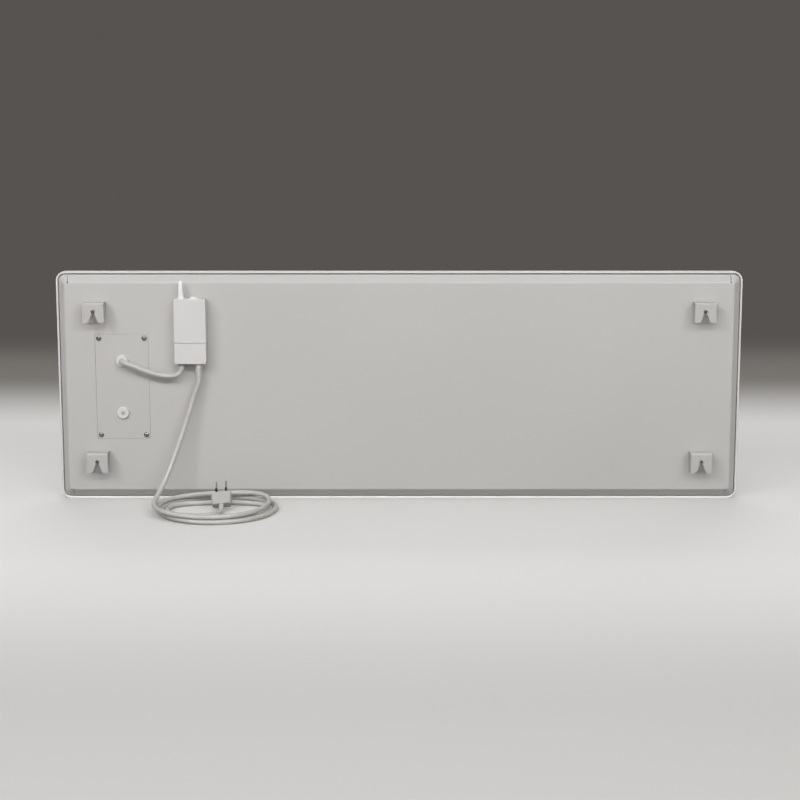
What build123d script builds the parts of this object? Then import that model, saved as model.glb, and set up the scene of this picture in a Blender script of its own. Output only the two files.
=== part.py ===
# Infrared panel heater, seen from its wall side: a thin steel tray with a heating film behind
# its front, a folded rear cover with four hanging brackets, a radio receiver box and its cords.
# X runs along the panel, +Y points out of the warm front face into the room, Z is up.
# The origin is under the middle of the panel, on the surface that it stands on. Millimetres.

import math
import os

from build123d import *

os.makedirs("parts", exist_ok=True)

# ---- panel outline and depths ----
panel_width = 905.0
panel_height = 305.0
panel_corner = 12.0
tray_depth = 14.0
cover_rise = 8.0
bracket_depth = 20.0
tray_sheet = 0.8
tray_edge = 2.0
hem_width = 2.5
hem_depth = 4.0
hem_edge = 0.6

# ---- rear cover ----
cover_sheet = 1.0
cover_groove = 1.4
bevel_run_side = 8.0
bevel_run_top = 10.0
cover_flange = 7.0
flat_corner = 3.0
flat_inner_corner = 2.7
bend_edge = 3.0
slit_width = 0.7
slit_from_edge = 16.5
relief_radius = 0.9

# ---- layers behind the front ----
layer_margin = 12.0
film_thick = 0.4
bus_bar_thick = 0.3
bus_bar_width = 10.0
mica_thick = 0.5
board_gap = 1.2
foil_thick = 0.2
pad_size = 30.0
pad_columns = 4
pad_span = 640.0
sealant_depth = 2.7
sealant_gap = 0.3

# ---- service plate and cable glands ----
plate_x = -366.5
plate_z = 152.9
plate_width = 70.0
plate_height = 140.0
plate_gap = 0.45
plate_corner = 1.0
plate_screw_inset_x = 5.0
plate_screw_inset_z = 5.25
plate_lap = 8.0
frame_margin = 8.0
frame_thick = 1.5
gasket_thick = 0.5
gland_rise = 34.8
gland_flange_step = 1.9
gland_flange_thick = 3.5
gland_edge = 0.8
gland_barrel_wall = 2.5
gland_barrel_length = 10.5
gland_nut_wall = 1.6
gland_nut_thick = 3.0
plug_insert_r = 2.7
screw_head_r = 3.5
screw_head_thick = 2.0
screw_shank_r = 1.9
screw_length = 6.5
screw_head_edge = 1.5
screw_recess = 0.9
recess_arm = 2.0
screw_clear = 0.2
rivet_nut_r = 3.2
rivet_nut_past_screw = 1.0
stopper_rise = 0.6
stopper_edge = 0.5

# ---- wiring inside the panel ----
lead_r = 1.3
lead_hole_r = 1.6
lead_hole_depth = 3.0
lead_above_block = 5.6
bar_hole_r = 2.5
channel_width = 8.0
pocket_margin = 10.0
pocket_margin_right = 32.0
terminal_width = 34.0
terminal_height = 16.0
terminal_depth = 10.0
terminal_corner = 1.0
terminal_pad_thick = 1.0
terminal_pole = 10.0
terminal_below_middle = 2.0
terminal_screw_r = 1.8
terminal_screw_depth = 4.0
terminal_screw_sunk = 0.5
terminal_slot_half = 0.4
terminal_slot_depth = 0.8
cutout_right = 24.0
cutout_up = 42.0
cutout_r = 6.5
cutout_thick = 7.0
cutout_edge = 0.8
stud_from_pocket_side = 12.0
stud_down = 52.0
stud_r = 2.0
stud_length = 9.0
washer_r = 4.5
washer_thick = 0.8
earth_nut_across = 7.0
earth_nut_thick = 3.0
earth_nut_rise = 2.4

# ---- wall brackets ----
bracket_spacing_x = 800.0
bracket_spacing_z = 200.0
bracket_low_z = 54.5
bracket_width = 28.0
bracket_sheet = 1.5
bracket_bend = 1.0
hook_height = 26.2
base_height = 29.0
hole_below_top = 12.0
hole_r = 2.75
throat_half = 1.8
slot_mouth_half = 7.0
rivet_spacing = 14.0
rivet_r = 1.6
rivet_head_r = 3.2
rivet_head_thick = 1.2
rivet_head_edge = 0.84
rivet_tail_r = 2.4

# ---- receiver box ----
receiver_x = -274.0
receiver_base_z = 185.6
receiver_width = 42.0
receiver_height = 85.8
receiver_depth = 19.5
receiver_pad_thick = 0.8
receiver_pad_inset = 4.0
receiver_shallow = 3.8
receiver_wall = 1.8
receiver_corner = 3.0
receiver_edge = 1.0
seam_height = 27.8
seam_gap = 0.5
fitting_clear = 0.35
antenna_x = -285.7
antenna_length = 23.2
antenna_base_r = 4.0
antenna_tip_r = 3.2
antenna_collar_r = 5.2
button_x = -269.3
button_r = 4.6
button_rise = 3.0
button_travel = 0.8
button_ring_r = 6.8
button_ring_thick = 1.0
button_ring_slope = 0.9
button_ring_taper = 1.44
button_clear = 0.3
led_x = -258.5
led_r = 1.5
led_rise = 0.6
led_edge = 0.5
led_depth = 3.8
link_inlet_x = -286.0
mains_inlet_x = -264.0
antenna_foot_r = 2.6
antenna_foot_length = 3.0
antenna_collar_thick = 0.6
antenna_collar_taper = 1.2
inlet_neck_wall = 0.8
button_edge = 1.4
button_flange_r = 5.6
button_flange_thick = 1.2
button_flange_clear = 0.15
button_stem_r = 2.0
button_stem_length = 5.0
press_gap = 0.3

# ---- circuit board in the receiver, and its parts ----
pcb_thick = 1.6
pcb_side_gap = 1.2
pcb_above_seam = 4.0
pcb_below_top = 4.5
pcb_behind_split = 1.4
post_inset_x = 4.0
post_inset_z = 3.5
post_r = 2.0
post_screw_r = 1.1
post_screw_head_r = 1.9
post_screw_head_thick = 1.2
switch_width = 6.0
switch_height = 3.6
plunger_rise = 1.4
plunger_r = 1.7
relay_size = (15.0, 9.0, 19.0)
relay_place = (-4.0, 17.5)
relay_edge = 0.8
module_size = (10.5, 8.5, 17.5)
module_place = (10.25, 17.25)
part_edge = 0.5
capacitor_r = 3.6
capacitor_depth = 8.5
capacitor_place = (-7.5, 34.0)
fuse_r = 2.2
fuse_length = 16.0
fuse_height = 3.2
fuse_clip = (2.5, 5.6, 4.8)

# ---- cord clamp and terminals in the receiver ----
clamp_rise = 7.0
clamp_post_r = 3.2
clamp_post_below_cords = 0.4
clamp_screw_r = 1.3
clamp_screw_head_r = 2.4
clamp_screw_head_thick = 1.0
clamp_thick = 1.6
clamp_side_gap = 3.2
clamp_height = 4.4
rib_height = 4.0
rib_clear = 0.3
socket_count = 6
socket_pitch = 5.2
socket_r = 1.7
socket_depth = 2.5
socket_screw_r = 1.5
socket_screw_sunk = 0.5
sockets_size = (32.0, 10.5, 9.5)
sockets_above_clamp = 5.5

# ---- cords and plug ----
cord_diameter = 6.5
cord_clear = 0.15
mains_relief_length = 20.0
mains_relief_top_wall = 1.5
mains_relief_tip_wall = 0.5
grommet_wall = 1.8
grommet_length = 2.0
grommet_edge = 0.8
held_cord_length = 10.5
held_cord_short = 1.0
floor_gap = 0.05
plug_width = 27.0
plug_thick = 12.0
plug_length = 18.5
plug_tilt = 45.0
plug_roll = 6.0
plug_corner = 3.0
plug_edge = 1.0
plug_neck_narrower = 3.0
plug_neck_thinner = 0.6
plug_x = -230.4
plug_y = -74.7
cord_offset = 2.2
plug_cord_bend = 7.5
blade_spacing = 12.7
blade_thick = 1.5
blade_width = 6.35
blade_length = 17.9
blade_tip = 1.2
blade_hole_r = 1.55
blade_hole_from_tip = 3.6
sleeve_length = 6.5
sleeve_wall = 0.55
coil_slope_share = 0.64

# ---- places that follow from the sizes ----
front_y = (tray_depth + cover_rise + bracket_depth) / 2
rim_y = front_y - tray_depth
cover_y = rim_y - cover_rise
wall_y = cover_y - bracket_depth
cover_inner_y = cover_y + cover_sheet
panel_mid_z = panel_height / 2
film_y = front_y - tray_sheet - film_thick
bus_y = film_y - bus_bar_thick
mica_y = bus_y - mica_thick
board_y = rim_y
foil_y = board_y - foil_thick
cover_width = panel_width - 2 * (hem_width + cover_groove)
cover_height = panel_height - 2 * (hem_width + cover_groove)
cover_corner = panel_corner - hem_width - cover_groove
flat_width = cover_width - 2 * bevel_run_side
flat_height = cover_height - 2 * bevel_run_top
layer_width = panel_width - 2 * layer_margin
layer_height = panel_height - 2 * layer_margin
frame_width = plate_width + 2 * frame_margin
frame_height = plate_height + 2 * frame_margin
cord_r = cord_diameter / 2
bore_r = cord_r + cord_clear
plate_screw_x = plate_width - 2 * plate_screw_inset_x
plate_screw_z = plate_height - 2 * plate_screw_inset_z
gland_barrel_r = bore_r + gland_barrel_wall
gland_flange_r = gland_barrel_r + gland_flange_step
gland_nut_across = 2 * (gland_barrel_r + gland_nut_wall)
gland_end_y = cover_y + gland_barrel_length
inlet_neck_r = bore_r + inlet_neck_wall
gland_z = {"upper": plate_z + gland_rise, "lower": plate_z - gland_rise}
gland_face_y = cover_y - gland_flange_thick
bracket_x = {"left": -bracket_spacing_x / 2, "right": bracket_spacing_x / 2}
bracket_hole_z = {"bottom": bracket_low_z, "top": bracket_low_z + bracket_spacing_z}

receiver_front_y = cover_y - receiver_pad_thick
receiver_split_y = receiver_front_y - receiver_shallow
receiver_back_y = cover_y - receiver_depth
receiver_top_z = receiver_base_z + receiver_height
receiver_mid_z = receiver_base_z + receiver_height / 2
seam_z = receiver_base_z + seam_height
floor_y = receiver_front_y - receiver_wall
clamp_low_y = receiver_back_y + receiver_wall + clamp_screw_head_thick + fitting_clear
fitting_y = clamp_low_y + clamp_thick + cord_r
pcb_y = receiver_split_y - pcb_behind_split
pcb_back_y = pcb_y - pcb_thick
pcb_z = (seam_z + pcb_above_seam, receiver_top_z - receiver_wall - pcb_below_top)
pcb_mid_z = (pcb_z[0] + pcb_z[1]) / 2
pcb_width = receiver_width - 2 * (receiver_wall + pcb_side_gap)
post_x = pcb_width / 2 - post_inset_x
flange_top_z = receiver_top_z - receiver_wall - button_flange_clear
stem_low_z = flange_top_z - button_flange_thick - button_stem_length
plunger_top_z = stem_low_z - button_travel - press_gap
clamp_x = (link_inlet_x + mains_inlet_x) / 2
clamp_z = receiver_base_z + clamp_rise
clamp_length = receiver_width - 2 * (receiver_wall + clamp_side_gap)
clamp_y = fitting_y - cord_r + clamp_post_below_cords
sockets_low_z = clamp_z + sockets_above_clamp
sockets_x = [receiver_x + (i - (socket_count - 1) / 2) * socket_pitch for i in range(socket_count)]

bus_bar_z = {
    "upper": panel_mid_z + layer_height / 2 - bus_bar_width,
    "lower": panel_mid_z - layer_height / 2 + bus_bar_width,
}
pocket_x = (plate_x - plate_width / 2 - pocket_margin, plate_x + plate_width / 2 + pocket_margin_right)
pocket_z = (plate_z - plate_height / 2 - pocket_margin, plate_z + plate_height / 2 + pocket_margin)
channel_z = (bus_bar_z["lower"] - channel_width, bus_bar_z["upper"] + channel_width)
pads_left_x = pocket_x[1] + pad_size
terminal_z = plate_z - terminal_below_middle
terminal_y = mica_y - terminal_pad_thick - terminal_depth
lead_y = terminal_y + lead_above_block
pole_x = [plate_x + (i - 1) * terminal_pole for i in range(3)]
cutout_x = plate_x + cutout_right
cutout_z = plate_z + cutout_up
stud_x = pocket_x[1] - stud_from_pocket_side
stud_z = plate_z - stud_down


# ---- plain shapes ----
def slab(width, height, y_low, y_high, x=0.0, z=0.0, corner=0.0):
    """A plate that faces along Y, centred on x and z."""
    outline = RectangleRounded(width, height, corner) if corner else Rectangle(width, height)
    face = Plane(origin=(x, y_high, z), x_dir=(1, 0, 0), z_dir=(0, -1, 0)) * outline
    return extrude(face, amount=y_high - y_low)


def rod_y(radius, y_low, y_high, x, z):
    """A round bar along Y."""
    face = Plane(origin=(x, y_high, z), x_dir=(1, 0, 0), z_dir=(0, -1, 0)) * Circle(radius)
    return extrude(face, amount=y_high - y_low)


def rod_z(radius, z_low, z_high, x, y):
    """A round bar along Z."""
    return extrude(Pos(x, y, z_low) * Circle(radius), amount=z_high - z_low)


def block(x_low, x_high, y_low, y_high, z_low, z_high):
    """A box between its lowest and highest corners."""
    size = Box(x_high - x_low, y_high - y_low, z_high - z_low)
    return Pos((x_low + x_high) / 2, (y_low + y_high) / 2, (z_low + z_high) / 2) * size


def hex_nut(across, bore, y_low, y_high, x, z):
    """A hexagonal nut whose bore runs along Y."""
    outline = RegularPolygon(across / 2, 6, major_radius=False)
    face = Plane(origin=(x, y_high, z), x_dir=(1, 0, 0), z_dir=(0, -1, 0)) * outline
    return extrude(face, amount=y_high - y_low) - rod_y(bore, y_low, y_high, x, z)


def faces_at(solid, y):
    """The flat faces of a solid that lie on one Y plane."""
    return [f for f in solid.faces() if abs(f.center().Y - y) < 1e-4 and abs(f.normal_at().Y) > 0.999]


def outer_edges(solid, y):
    """The edges round the outside of the face on one Y plane."""
    return [e for f in faces_at(solid, y) for e in f.outer_wire().edges()]


def ring(points_x, points_z, middle_x, middle_z):
    """The four places of a rectangular pattern, as x and z."""
    return [(middle_x + sx * points_x / 2, middle_z + sz * points_z / 2)
            for sx in (-1, 1) for sz in (-1, 1)]


def save(name, shape):
    """Write one sub-part under its name, as a group of its separate solids."""
    solids = shape if isinstance(shape, list) else [shape]
    loose = [s for item in solids for s in item.solids()]
    result = loose[0] if len(loose) == 1 else Compound(children=loose)
    result.label = name
    export_step(result, f"parts/{name}.step")


# ---- tubes ----
def turn_radii(points):
    """The largest arc at each corner that its two runs allow."""
    radii = []
    for before, corner, after in zip(points, points[1:], points[2:]):
        run_in = Vector(*corner) - Vector(*before)
        run_out = Vector(*after) - Vector(*corner)
        half_turn = math.radians(run_in.get_angle(run_out) / 2)
        radii.append(0.45 * min(run_in.length, run_out.length) / math.tan(half_turn))
    return radii


def tube(name, points, diameter):
    """A round tube along straight runs joined by tangent arcs."""
    radii = turn_radii(points)
    path = FilletPolyline(*points, radius=radii)
    section = Plane(origin=path @ 0, z_dir=path % 0) * Circle(diameter / 2)
    solid = sweep(section, path=path)
    share = solid.volume / (math.pi * diameter ** 2 / 4 * path.length)
    print(f"{name}: length {path.length:.1f}, volume share {share:.4f}, radii",
          " ".join(f"{r:.1f}" for r in radii))
    return solid


def biarc(start, start_dir, end, end_dir):
    """Two arcs that leave start and reach end in the given directions."""
    gap = end - start
    across = gap.dot(start_dir + end_dir)
    spread = 2 * (1 - start_dir.dot(end_dir))
    reach = (math.sqrt(across ** 2 + spread * gap.dot(gap)) - across) / spread
    first_corner = start + start_dir * reach
    last_corner = end - end_dir * reach
    meet = (first_corner + last_corner) * 0.5
    meet_dir = (last_corner - first_corner).normalized()
    return [TangentArc(start, meet, tangent=start_dir), TangentArc(meet, end, tangent=meet_dir)]


def least_gap(wire, diameter, step=2.5, apart=30.0):
    """The least clear gap between stretches of one tube, measured on points."""
    count = int(wire.length / step)
    points = [tuple(wire @ (i / count)) for i in range(count + 1)]
    skip = int(apart / step)
    nearest = min(math.dist(points[i], points[j])
                  for i in range(count + 1) for j in range(i + skip, count + 1))
    return nearest - diameter


# ---- the tray and what lies in it ----
def front_panel():
    body = slab(panel_width, panel_height, rim_y, front_y, 0, panel_mid_z, panel_corner)
    body = fillet(outer_edges(body, front_y), tray_edge)
    inside = slab(panel_width - 2 * tray_sheet, panel_height - 2 * tray_sheet,
                  rim_y, front_y - tray_sheet, 0, panel_mid_z, panel_corner - tray_sheet)
    inside = fillet(outer_edges(inside, front_y - tray_sheet), tray_edge - tray_sheet)
    hem = slab(panel_width, panel_height, rim_y, rim_y + hem_depth, 0, panel_mid_z, panel_corner)
    hem -= slab(panel_width - 2 * hem_width, panel_height - 2 * hem_width,
                rim_y, rim_y + hem_depth, 0, panel_mid_z, panel_corner - hem_width)
    tray = body - inside + hem
    return fillet([e for f in faces_at(tray, rim_y) for e in f.edges()], hem_edge)


def heating_film():
    return slab(layer_width, layer_height, film_y, film_y + film_thick, 0, panel_mid_z)


def bus_bar(z):
    return slab(layer_width - 2 * bus_bar_width, bus_bar_width, bus_y, film_y, 0, z)


def wiring_space(y_low, y_high):
    """The pocket behind the service plate, with the channels that the leads run in."""
    pocket = block(*pocket_x, y_low, y_high, *pocket_z)
    half = channel_width / 2
    return pocket + block(plate_x - half, plate_x + half, y_low, y_high, *channel_z)


def mica_sheet():
    sheet = slab(layer_width, layer_height, mica_y, mica_y + mica_thick, 0, panel_mid_z)
    for z in bus_bar_z.values():
        sheet -= rod_y(bar_hole_r, mica_y, bus_y, plate_x, z)
    return sheet


def board_outline(thick_low, thick_high):
    gap = cover_sheet + board_gap
    return slab(cover_width - 2 * gap, cover_height - 2 * gap, thick_low, thick_high,
                0, panel_mid_z, cover_corner - gap)


def insulation_board():
    return board_outline(board_y, mica_y) - wiring_space(board_y, mica_y)


def reflective_foil():
    return board_outline(foil_y, board_y) - wiring_space(foil_y, board_y)


def spacer_pads():
    """Foam pads between the foil and the cover, which keep the board against the front."""
    pads = []
    for column in range(pad_columns):
        x = pads_left_x + pad_span * column / (pad_columns - 1)
        for z in (panel_mid_z - panel_height / 4, panel_mid_z + panel_height / 4):
            pads.append(slab(pad_size, pad_size, cover_inner_y, foil_y, x, z))
    return pads


def perimeter_sealant():
    low = rim_y + hem_depth + sealant_gap
    outer = slab(panel_width - 2 * tray_sheet, panel_height - 2 * tray_sheet,
                 low, low + sealant_depth, 0, panel_mid_z, panel_corner - tray_sheet)
    return outer - slab(cover_width, cover_height, low, low + sealant_depth,
                        0, panel_mid_z, cover_corner)


# ---- the rear cover ----
def frustum(rim_width, rim_height, rim_corner, rim_level, top_width, top_height, top_corner, top_level):
    """A pan shape between a rounded outline at the rim and a smaller one further back."""
    rim = Plane(origin=(0, rim_level, panel_mid_z), x_dir=(1, 0, 0), z_dir=(0, -1, 0))
    top = Plane(origin=(0, top_level, panel_mid_z), x_dir=(1, 0, 0), z_dir=(0, -1, 0))
    return loft([rim * RectangleRounded(rim_width, rim_height, rim_corner),
                 top * RectangleRounded(top_width, top_height, top_corner)], ruled=True)


def rear_cover():
    outer = frustum(cover_width, cover_height, cover_corner, rim_y,
                    flat_width, flat_height, flat_corner, cover_y)
    outer = fillet(outer_edges(outer, cover_y), bend_edge)
    side = cover_sheet * math.hypot(bevel_run_side, cover_rise) / cover_rise
    top = cover_sheet * math.hypot(bevel_run_top, cover_rise) / cover_rise
    drop = cover_sheet / cover_rise
    inner = frustum(cover_width - 2 * side, cover_height - 2 * top, cover_corner - side, rim_y,
                    flat_width - 2 * side + 2 * bevel_run_side * drop,
                    flat_height - 2 * top + 2 * bevel_run_top * drop,
                    flat_inner_corner, cover_inner_y)
    flange = slab(cover_width, cover_height, rim_y, rim_y + cover_flange, 0, panel_mid_z, cover_corner)
    flange -= slab(cover_width - 2 * cover_sheet, cover_height - 2 * cover_sheet,
                   rim_y, rim_y + cover_flange, 0, panel_mid_z, cover_corner - cover_sheet)
    cover = outer - inner + flange
    cover -= slab(plate_width + 2 * plate_gap, plate_height + 2 * plate_gap,
                  cover_y, cover_inner_y, plate_x, plate_z, plate_corner + plate_gap)
    for side_x in (-1, 1):
        x = side_x * (panel_width / 2 - slit_from_edge)
        for edge in (-1, 1):
            flat_z = panel_mid_z + edge * flat_height / 2
            rim_z = panel_mid_z + edge * cover_height / 2
            cover -= block(x - slit_width / 2, x + slit_width / 2, cover_y, rim_y,
                           min(flat_z, rim_z - edge * cover_sheet), max(flat_z, rim_z - edge * cover_sheet))
            cover -= rod_y(relief_radius, cover_y, cover_inner_y + relief_radius, x, flat_z)
    for x, z in rivet_places():
        cover -= rod_y(rivet_r, cover_y, cover_inner_y, x, z)
    return cover


# ---- brackets ----
def bracket(x, hole_z):
    """One folded bracket: base on the cover, roof, and a hook plate open at both sides and below."""
    top = hole_z + hole_below_top
    outline = Polyline(
        (cover_y, top - base_height), (cover_y, top), (wall_y, top), (wall_y, top - hook_height),
        (wall_y + bracket_sheet, top - hook_height), (wall_y + bracket_sheet, top - bracket_sheet),
        (cover_y - bracket_sheet, top - bracket_sheet), (cover_y - bracket_sheet, top - base_height),
        close=True)
    strip = extrude(Plane.YZ * make_face(outline), amount=bracket_width / 2, both=True)
    along = strip.edges().filter_by(Axis.X)
    outer = [e for e in along if abs(e.center().Z - top) < 1e-4]
    strip = fillet(outer, bracket_bend + bracket_sheet)
    inner = [e for e in strip.edges().filter_by(Axis.X) if abs(e.center().Z - top + bracket_sheet) < 1e-4]
    strip = fillet(inner, bracket_bend)
    strip -= rod_y(hole_r, wall_y, wall_y + bracket_sheet, 0, hole_z)
    throat_z = hole_z - math.sqrt(hole_r ** 2 - throat_half ** 2)
    mouth_z = top - hook_height
    wedge = Polyline((-throat_half, hole_z), (throat_half, hole_z), (throat_half, throat_z),
                     (slot_mouth_half, mouth_z), (-slot_mouth_half, mouth_z),
                     (-throat_half, throat_z), close=True)
    face = Plane(origin=(0, wall_y + bracket_sheet, 0), x_dir=(1, 0, 0), z_dir=(0, -1, 0)) * make_face(wedge)
    strip -= extrude(face, amount=bracket_sheet)
    for rivet_x, rivet_z in rivet_pair(0, hole_z):
        strip -= rod_y(rivet_r, cover_y - bracket_sheet, cover_y, rivet_x, rivet_z)
    return Pos(x, 0, 0) * strip


def rivet_pair(x, hole_z):
    middle = hole_z + hole_below_top - base_height / 2 - bracket_sheet
    return [(x - rivet_spacing / 2, middle), (x + rivet_spacing / 2, middle)]


def rivet_places():
    return [place for x in bracket_x.values() for z in bracket_hole_z.values()
            for place in rivet_pair(x, z)]


def bracket_rivets():
    """Pop rivets through each bracket's base and the cover."""
    rivets = []
    for x, z in rivet_places():
        outer_y = cover_y - bracket_sheet
        head = rod_y(rivet_head_r, outer_y - rivet_head_thick, outer_y, x, z)
        head = fillet(outer_edges(head, outer_y - rivet_head_thick), rivet_head_edge)
        shank = rod_y(rivet_r, outer_y, cover_inner_y, x, z)
        tail = rod_y(rivet_tail_r, cover_inner_y, cover_inner_y + rivet_head_thick, x, z)
        rivets.append(head + shank + tail)
    return rivets


# ---- service plate ----
def service_frame():
    """The frame behind the plate's opening, with a step for the gasket."""
    low = cover_inner_y
    frame = slab(frame_width, frame_height, low, low + gasket_thick + frame_thick, plate_x, plate_z)
    frame -= slab(plate_width - 2 * plate_lap, plate_height - 2 * plate_lap, low,
                  low + gasket_thick + frame_thick, plate_x, plate_z, plate_corner)
    frame -= slab(plate_width, plate_height, low, low + gasket_thick, plate_x, plate_z, plate_corner)
    for x, z in ring(plate_screw_x, plate_screw_z, plate_x, plate_z):
        frame -= rod_y(rivet_nut_r, low, low + gasket_thick + frame_thick, x, z)
    return frame


def service_gasket():
    low = cover_inner_y
    gasket = slab(plate_width, plate_height, low, low + gasket_thick, plate_x, plate_z, plate_corner)
    gasket -= slab(plate_width - 2 * plate_lap, plate_height - 2 * plate_lap,
                   low, low + gasket_thick, plate_x, plate_z, plate_corner)
    for x, z in ring(plate_screw_x, plate_screw_z, plate_x, plate_z):
        gasket -= rod_y(rivet_nut_r, low, low + gasket_thick, x, z)
    return gasket


def service_plate():
    plate = slab(plate_width, plate_height, cover_y, cover_inner_y, plate_x, plate_z, plate_corner)
    for x, z in ring(plate_screw_x, plate_screw_z, plate_x, plate_z):
        plate -= rod_y(screw_shank_r + screw_clear, cover_y, cover_inner_y, x, z)
    for z in gland_z.values():
        plate -= rod_y(gland_barrel_r, cover_y, cover_inner_y, plate_x, z)
    return plate


def service_screws():
    """Pan-head screws with a cross recess."""
    screws = []
    for x, z in ring(plate_screw_x, plate_screw_z, plate_x, plate_z):
        head_y = cover_y - screw_head_thick
        head = rod_y(screw_head_r, head_y, cover_y, x, z)
        head = fillet(outer_edges(head, head_y), screw_head_edge)
        for half_x, half_z in ((recess_arm, screw_recess / 2), (screw_recess / 2, recess_arm)):
            head -= block(x - half_x, x + half_x, head_y, head_y + screw_recess,
                          z - half_z, z + half_z)
        screws.append(head + rod_y(screw_shank_r, cover_y, cover_y + screw_length, x, z))
    return screws


def service_nuts():
    """Rivet nuts set in the frame."""
    high = cover_y + screw_length + rivet_nut_past_screw
    return [rod_y(rivet_nut_r, cover_inner_y, high, x, z)
            - rod_y(screw_shank_r, cover_inner_y, high, x, z)
            for x, z in ring(plate_screw_x, plate_screw_z, plate_x, plate_z)]


def cable_gland(z, bore):
    """A flanged gland through the service plate; the bore takes the cord or a blanking plug."""
    flange = rod_y(gland_flange_r, gland_face_y, cover_y, plate_x, z)
    flange = fillet(outer_edges(flange, gland_face_y), gland_edge)
    barrel = rod_y(gland_barrel_r, cover_y, gland_end_y, plate_x, z)
    return flange + barrel - rod_y(bore, gland_face_y, gland_end_y, plate_x, z)


def gland_nut(z):
    low = cover_inner_y
    return hex_nut(gland_nut_across, gland_barrel_r, low, low + gland_nut_thick, plate_x, z)


def blanking_plug():
    """The stopper in the unused gland."""
    low = gland_face_y - stopper_rise
    stem = rod_y(plug_insert_r, low, gland_end_y, plate_x, gland_z["lower"])
    return fillet(outer_edges(stem, low), stopper_edge)


# ---- wiring inside the panel ----
def terminal_pad():
    return slab(terminal_width, terminal_height, mica_y - terminal_pad_thick, mica_y, plate_x, terminal_z)


def terminal_block():
    """Three-pole ceramic block, open towards the service plate at each screw."""
    body = slab(terminal_width, terminal_height, terminal_y, mica_y - terminal_pad_thick,
                plate_x, terminal_z, terminal_corner)
    for x, z in terminal_screw_places():
        body -= rod_y(terminal_screw_r + screw_clear, terminal_y, terminal_y + terminal_screw_depth, x, z)
    low, high = terminal_z - terminal_height / 2, terminal_z + terminal_height / 2
    for x in pole_x:
        body -= rod_z(lead_hole_r, low, low + lead_hole_depth, x, lead_y)
        body -= rod_z(lead_hole_r, high - lead_hole_depth, high, x, lead_y)
    return body


def terminal_screw_places():
    return [(x, terminal_z + side * terminal_height / 4) for x in pole_x for side in (-1, 1)]


def terminal_screws():
    low = terminal_y + terminal_screw_sunk
    half = terminal_slot_half
    return [rod_y(terminal_screw_r, low, terminal_y + terminal_screw_depth, x, z)
            - block(x - half, x + half, low, low + terminal_slot_depth,
                    z - terminal_screw_r, z + terminal_screw_r)
            for x, z in terminal_screw_places()]


def thermal_cutout():
    """Disc limiter held flat against the mica."""
    body = rod_y(cutout_r, mica_y - cutout_thick, mica_y, cutout_x, cutout_z)
    return fillet(outer_edges(body, mica_y - cutout_thick), cutout_edge)


def earth_stud():
    """Stud welded inside the cover, with its nut and washer."""
    low = cover_inner_y
    nut_low = low + earth_nut_rise
    stud = rod_y(stud_r, low, low + stud_length, stud_x, stud_z)
    washer = rod_y(washer_r, low, low + washer_thick, stud_x, stud_z)
    washer -= rod_y(stud_r, low, low + washer_thick, stud_x, stud_z)
    nut = hex_nut(earth_nut_across, stud_r, nut_low, nut_low + earth_nut_thick, stud_x, stud_z)
    return [stud, washer, nut]


def panel_leads():
    """The wires from the terminal block to the bus bars, the limiter and the earth stud."""
    top = terminal_z + terminal_height / 2
    bottom = terminal_z - terminal_height / 2
    live_x, neutral_x, earth_x = pole_x[1], pole_x[0], pole_x[2]
    low_z = bus_bar_z["lower"]
    high_z = bus_bar_z["upper"]
    gland_gap = gland_barrel_r + lead_r + 2.4
    lead_end = cutout_r - 2.0
    return {
        "lead_to_limiter": [
            (earth_x, lead_y, top - 3), (earth_x, lead_y, top + 6), (cutout_x - 4, lead_y, top + 16),
            (cutout_x - lead_end, lead_y - 1.5, cutout_z - cutout_r - 6),
            (cutout_x - lead_end, lead_y - 0.5, cutout_z - cutout_r + 0.5)],
        "lead_to_upper_bar": [
            (cutout_x - 1.0, lead_y, cutout_z + cutout_r), (cutout_x - 3, lead_y, cutout_z + cutout_r + 12),
            (plate_x + 1.5, lead_y, cutout_z + cutout_r + 28), (plate_x, lead_y, cutout_z + cutout_r + 46),
            (plate_x, lead_y, high_z - 6), (plate_x, lead_y + 1.2, high_z), (plate_x, bus_y, high_z)],
        "lead_to_lower_bar": [
            (neutral_x, lead_y, bottom + 3), (neutral_x, lead_y, bottom - 7),
            (plate_x - gland_gap - 1, lead_y, gland_z["lower"] + 4),
            (plate_x - gland_gap + 1.5, lead_y, gland_z["lower"] - 14),
            (plate_x, lead_y, gland_z["lower"] - 34), (plate_x + 0.2, lead_y, low_z + 6),
            (plate_x, lead_y + 1.2, low_z), (plate_x, bus_y, low_z)],
        "lead_to_earth": [
            (earth_x, lead_y, bottom + 3), (earth_x, lead_y, bottom - 7),
            (earth_x + 14, lead_y - 1, stud_z + 24), (stud_x - 9, lead_y - 3, stud_z + 9),
            (stud_x - 5.5, cover_inner_y + earth_nut_rise + lead_r, stud_z + 2)],
    }


# ---- receiver box ----
def receiver_block():
    """The outside of the whole box, with its edges eased."""
    whole = slab(receiver_width, receiver_height, receiver_back_y, receiver_front_y,
                 receiver_x, receiver_mid_z, receiver_corner)
    return fillet(outer_edges(whole, receiver_back_y), receiver_edge)


def receiver_shell(z_low, z_high):
    """One of the two hoods on the box's base, closed all round but for the side to the base."""
    side = receiver_width / 2 + 1
    hood = receiver_block() & block(receiver_x - side, receiver_x + side, receiver_back_y,
                                    receiver_split_y, z_low, z_high)
    inner = receiver_width / 2 - receiver_wall
    return hood - block(receiver_x - inner, receiver_x + inner, receiver_back_y + receiver_wall,
                        receiver_split_y, z_low + receiver_wall, z_high - receiver_wall)


def post_places():
    return ring(2 * post_x, pcb_z[1] - pcb_z[0] - 2 * post_inset_z, receiver_x, pcb_mid_z)


def receiver_pad():
    return slab(receiver_width - 2 * receiver_pad_inset, receiver_height - 2 * receiver_pad_inset,
                receiver_front_y, cover_y, receiver_x, receiver_mid_z, receiver_corner)


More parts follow.
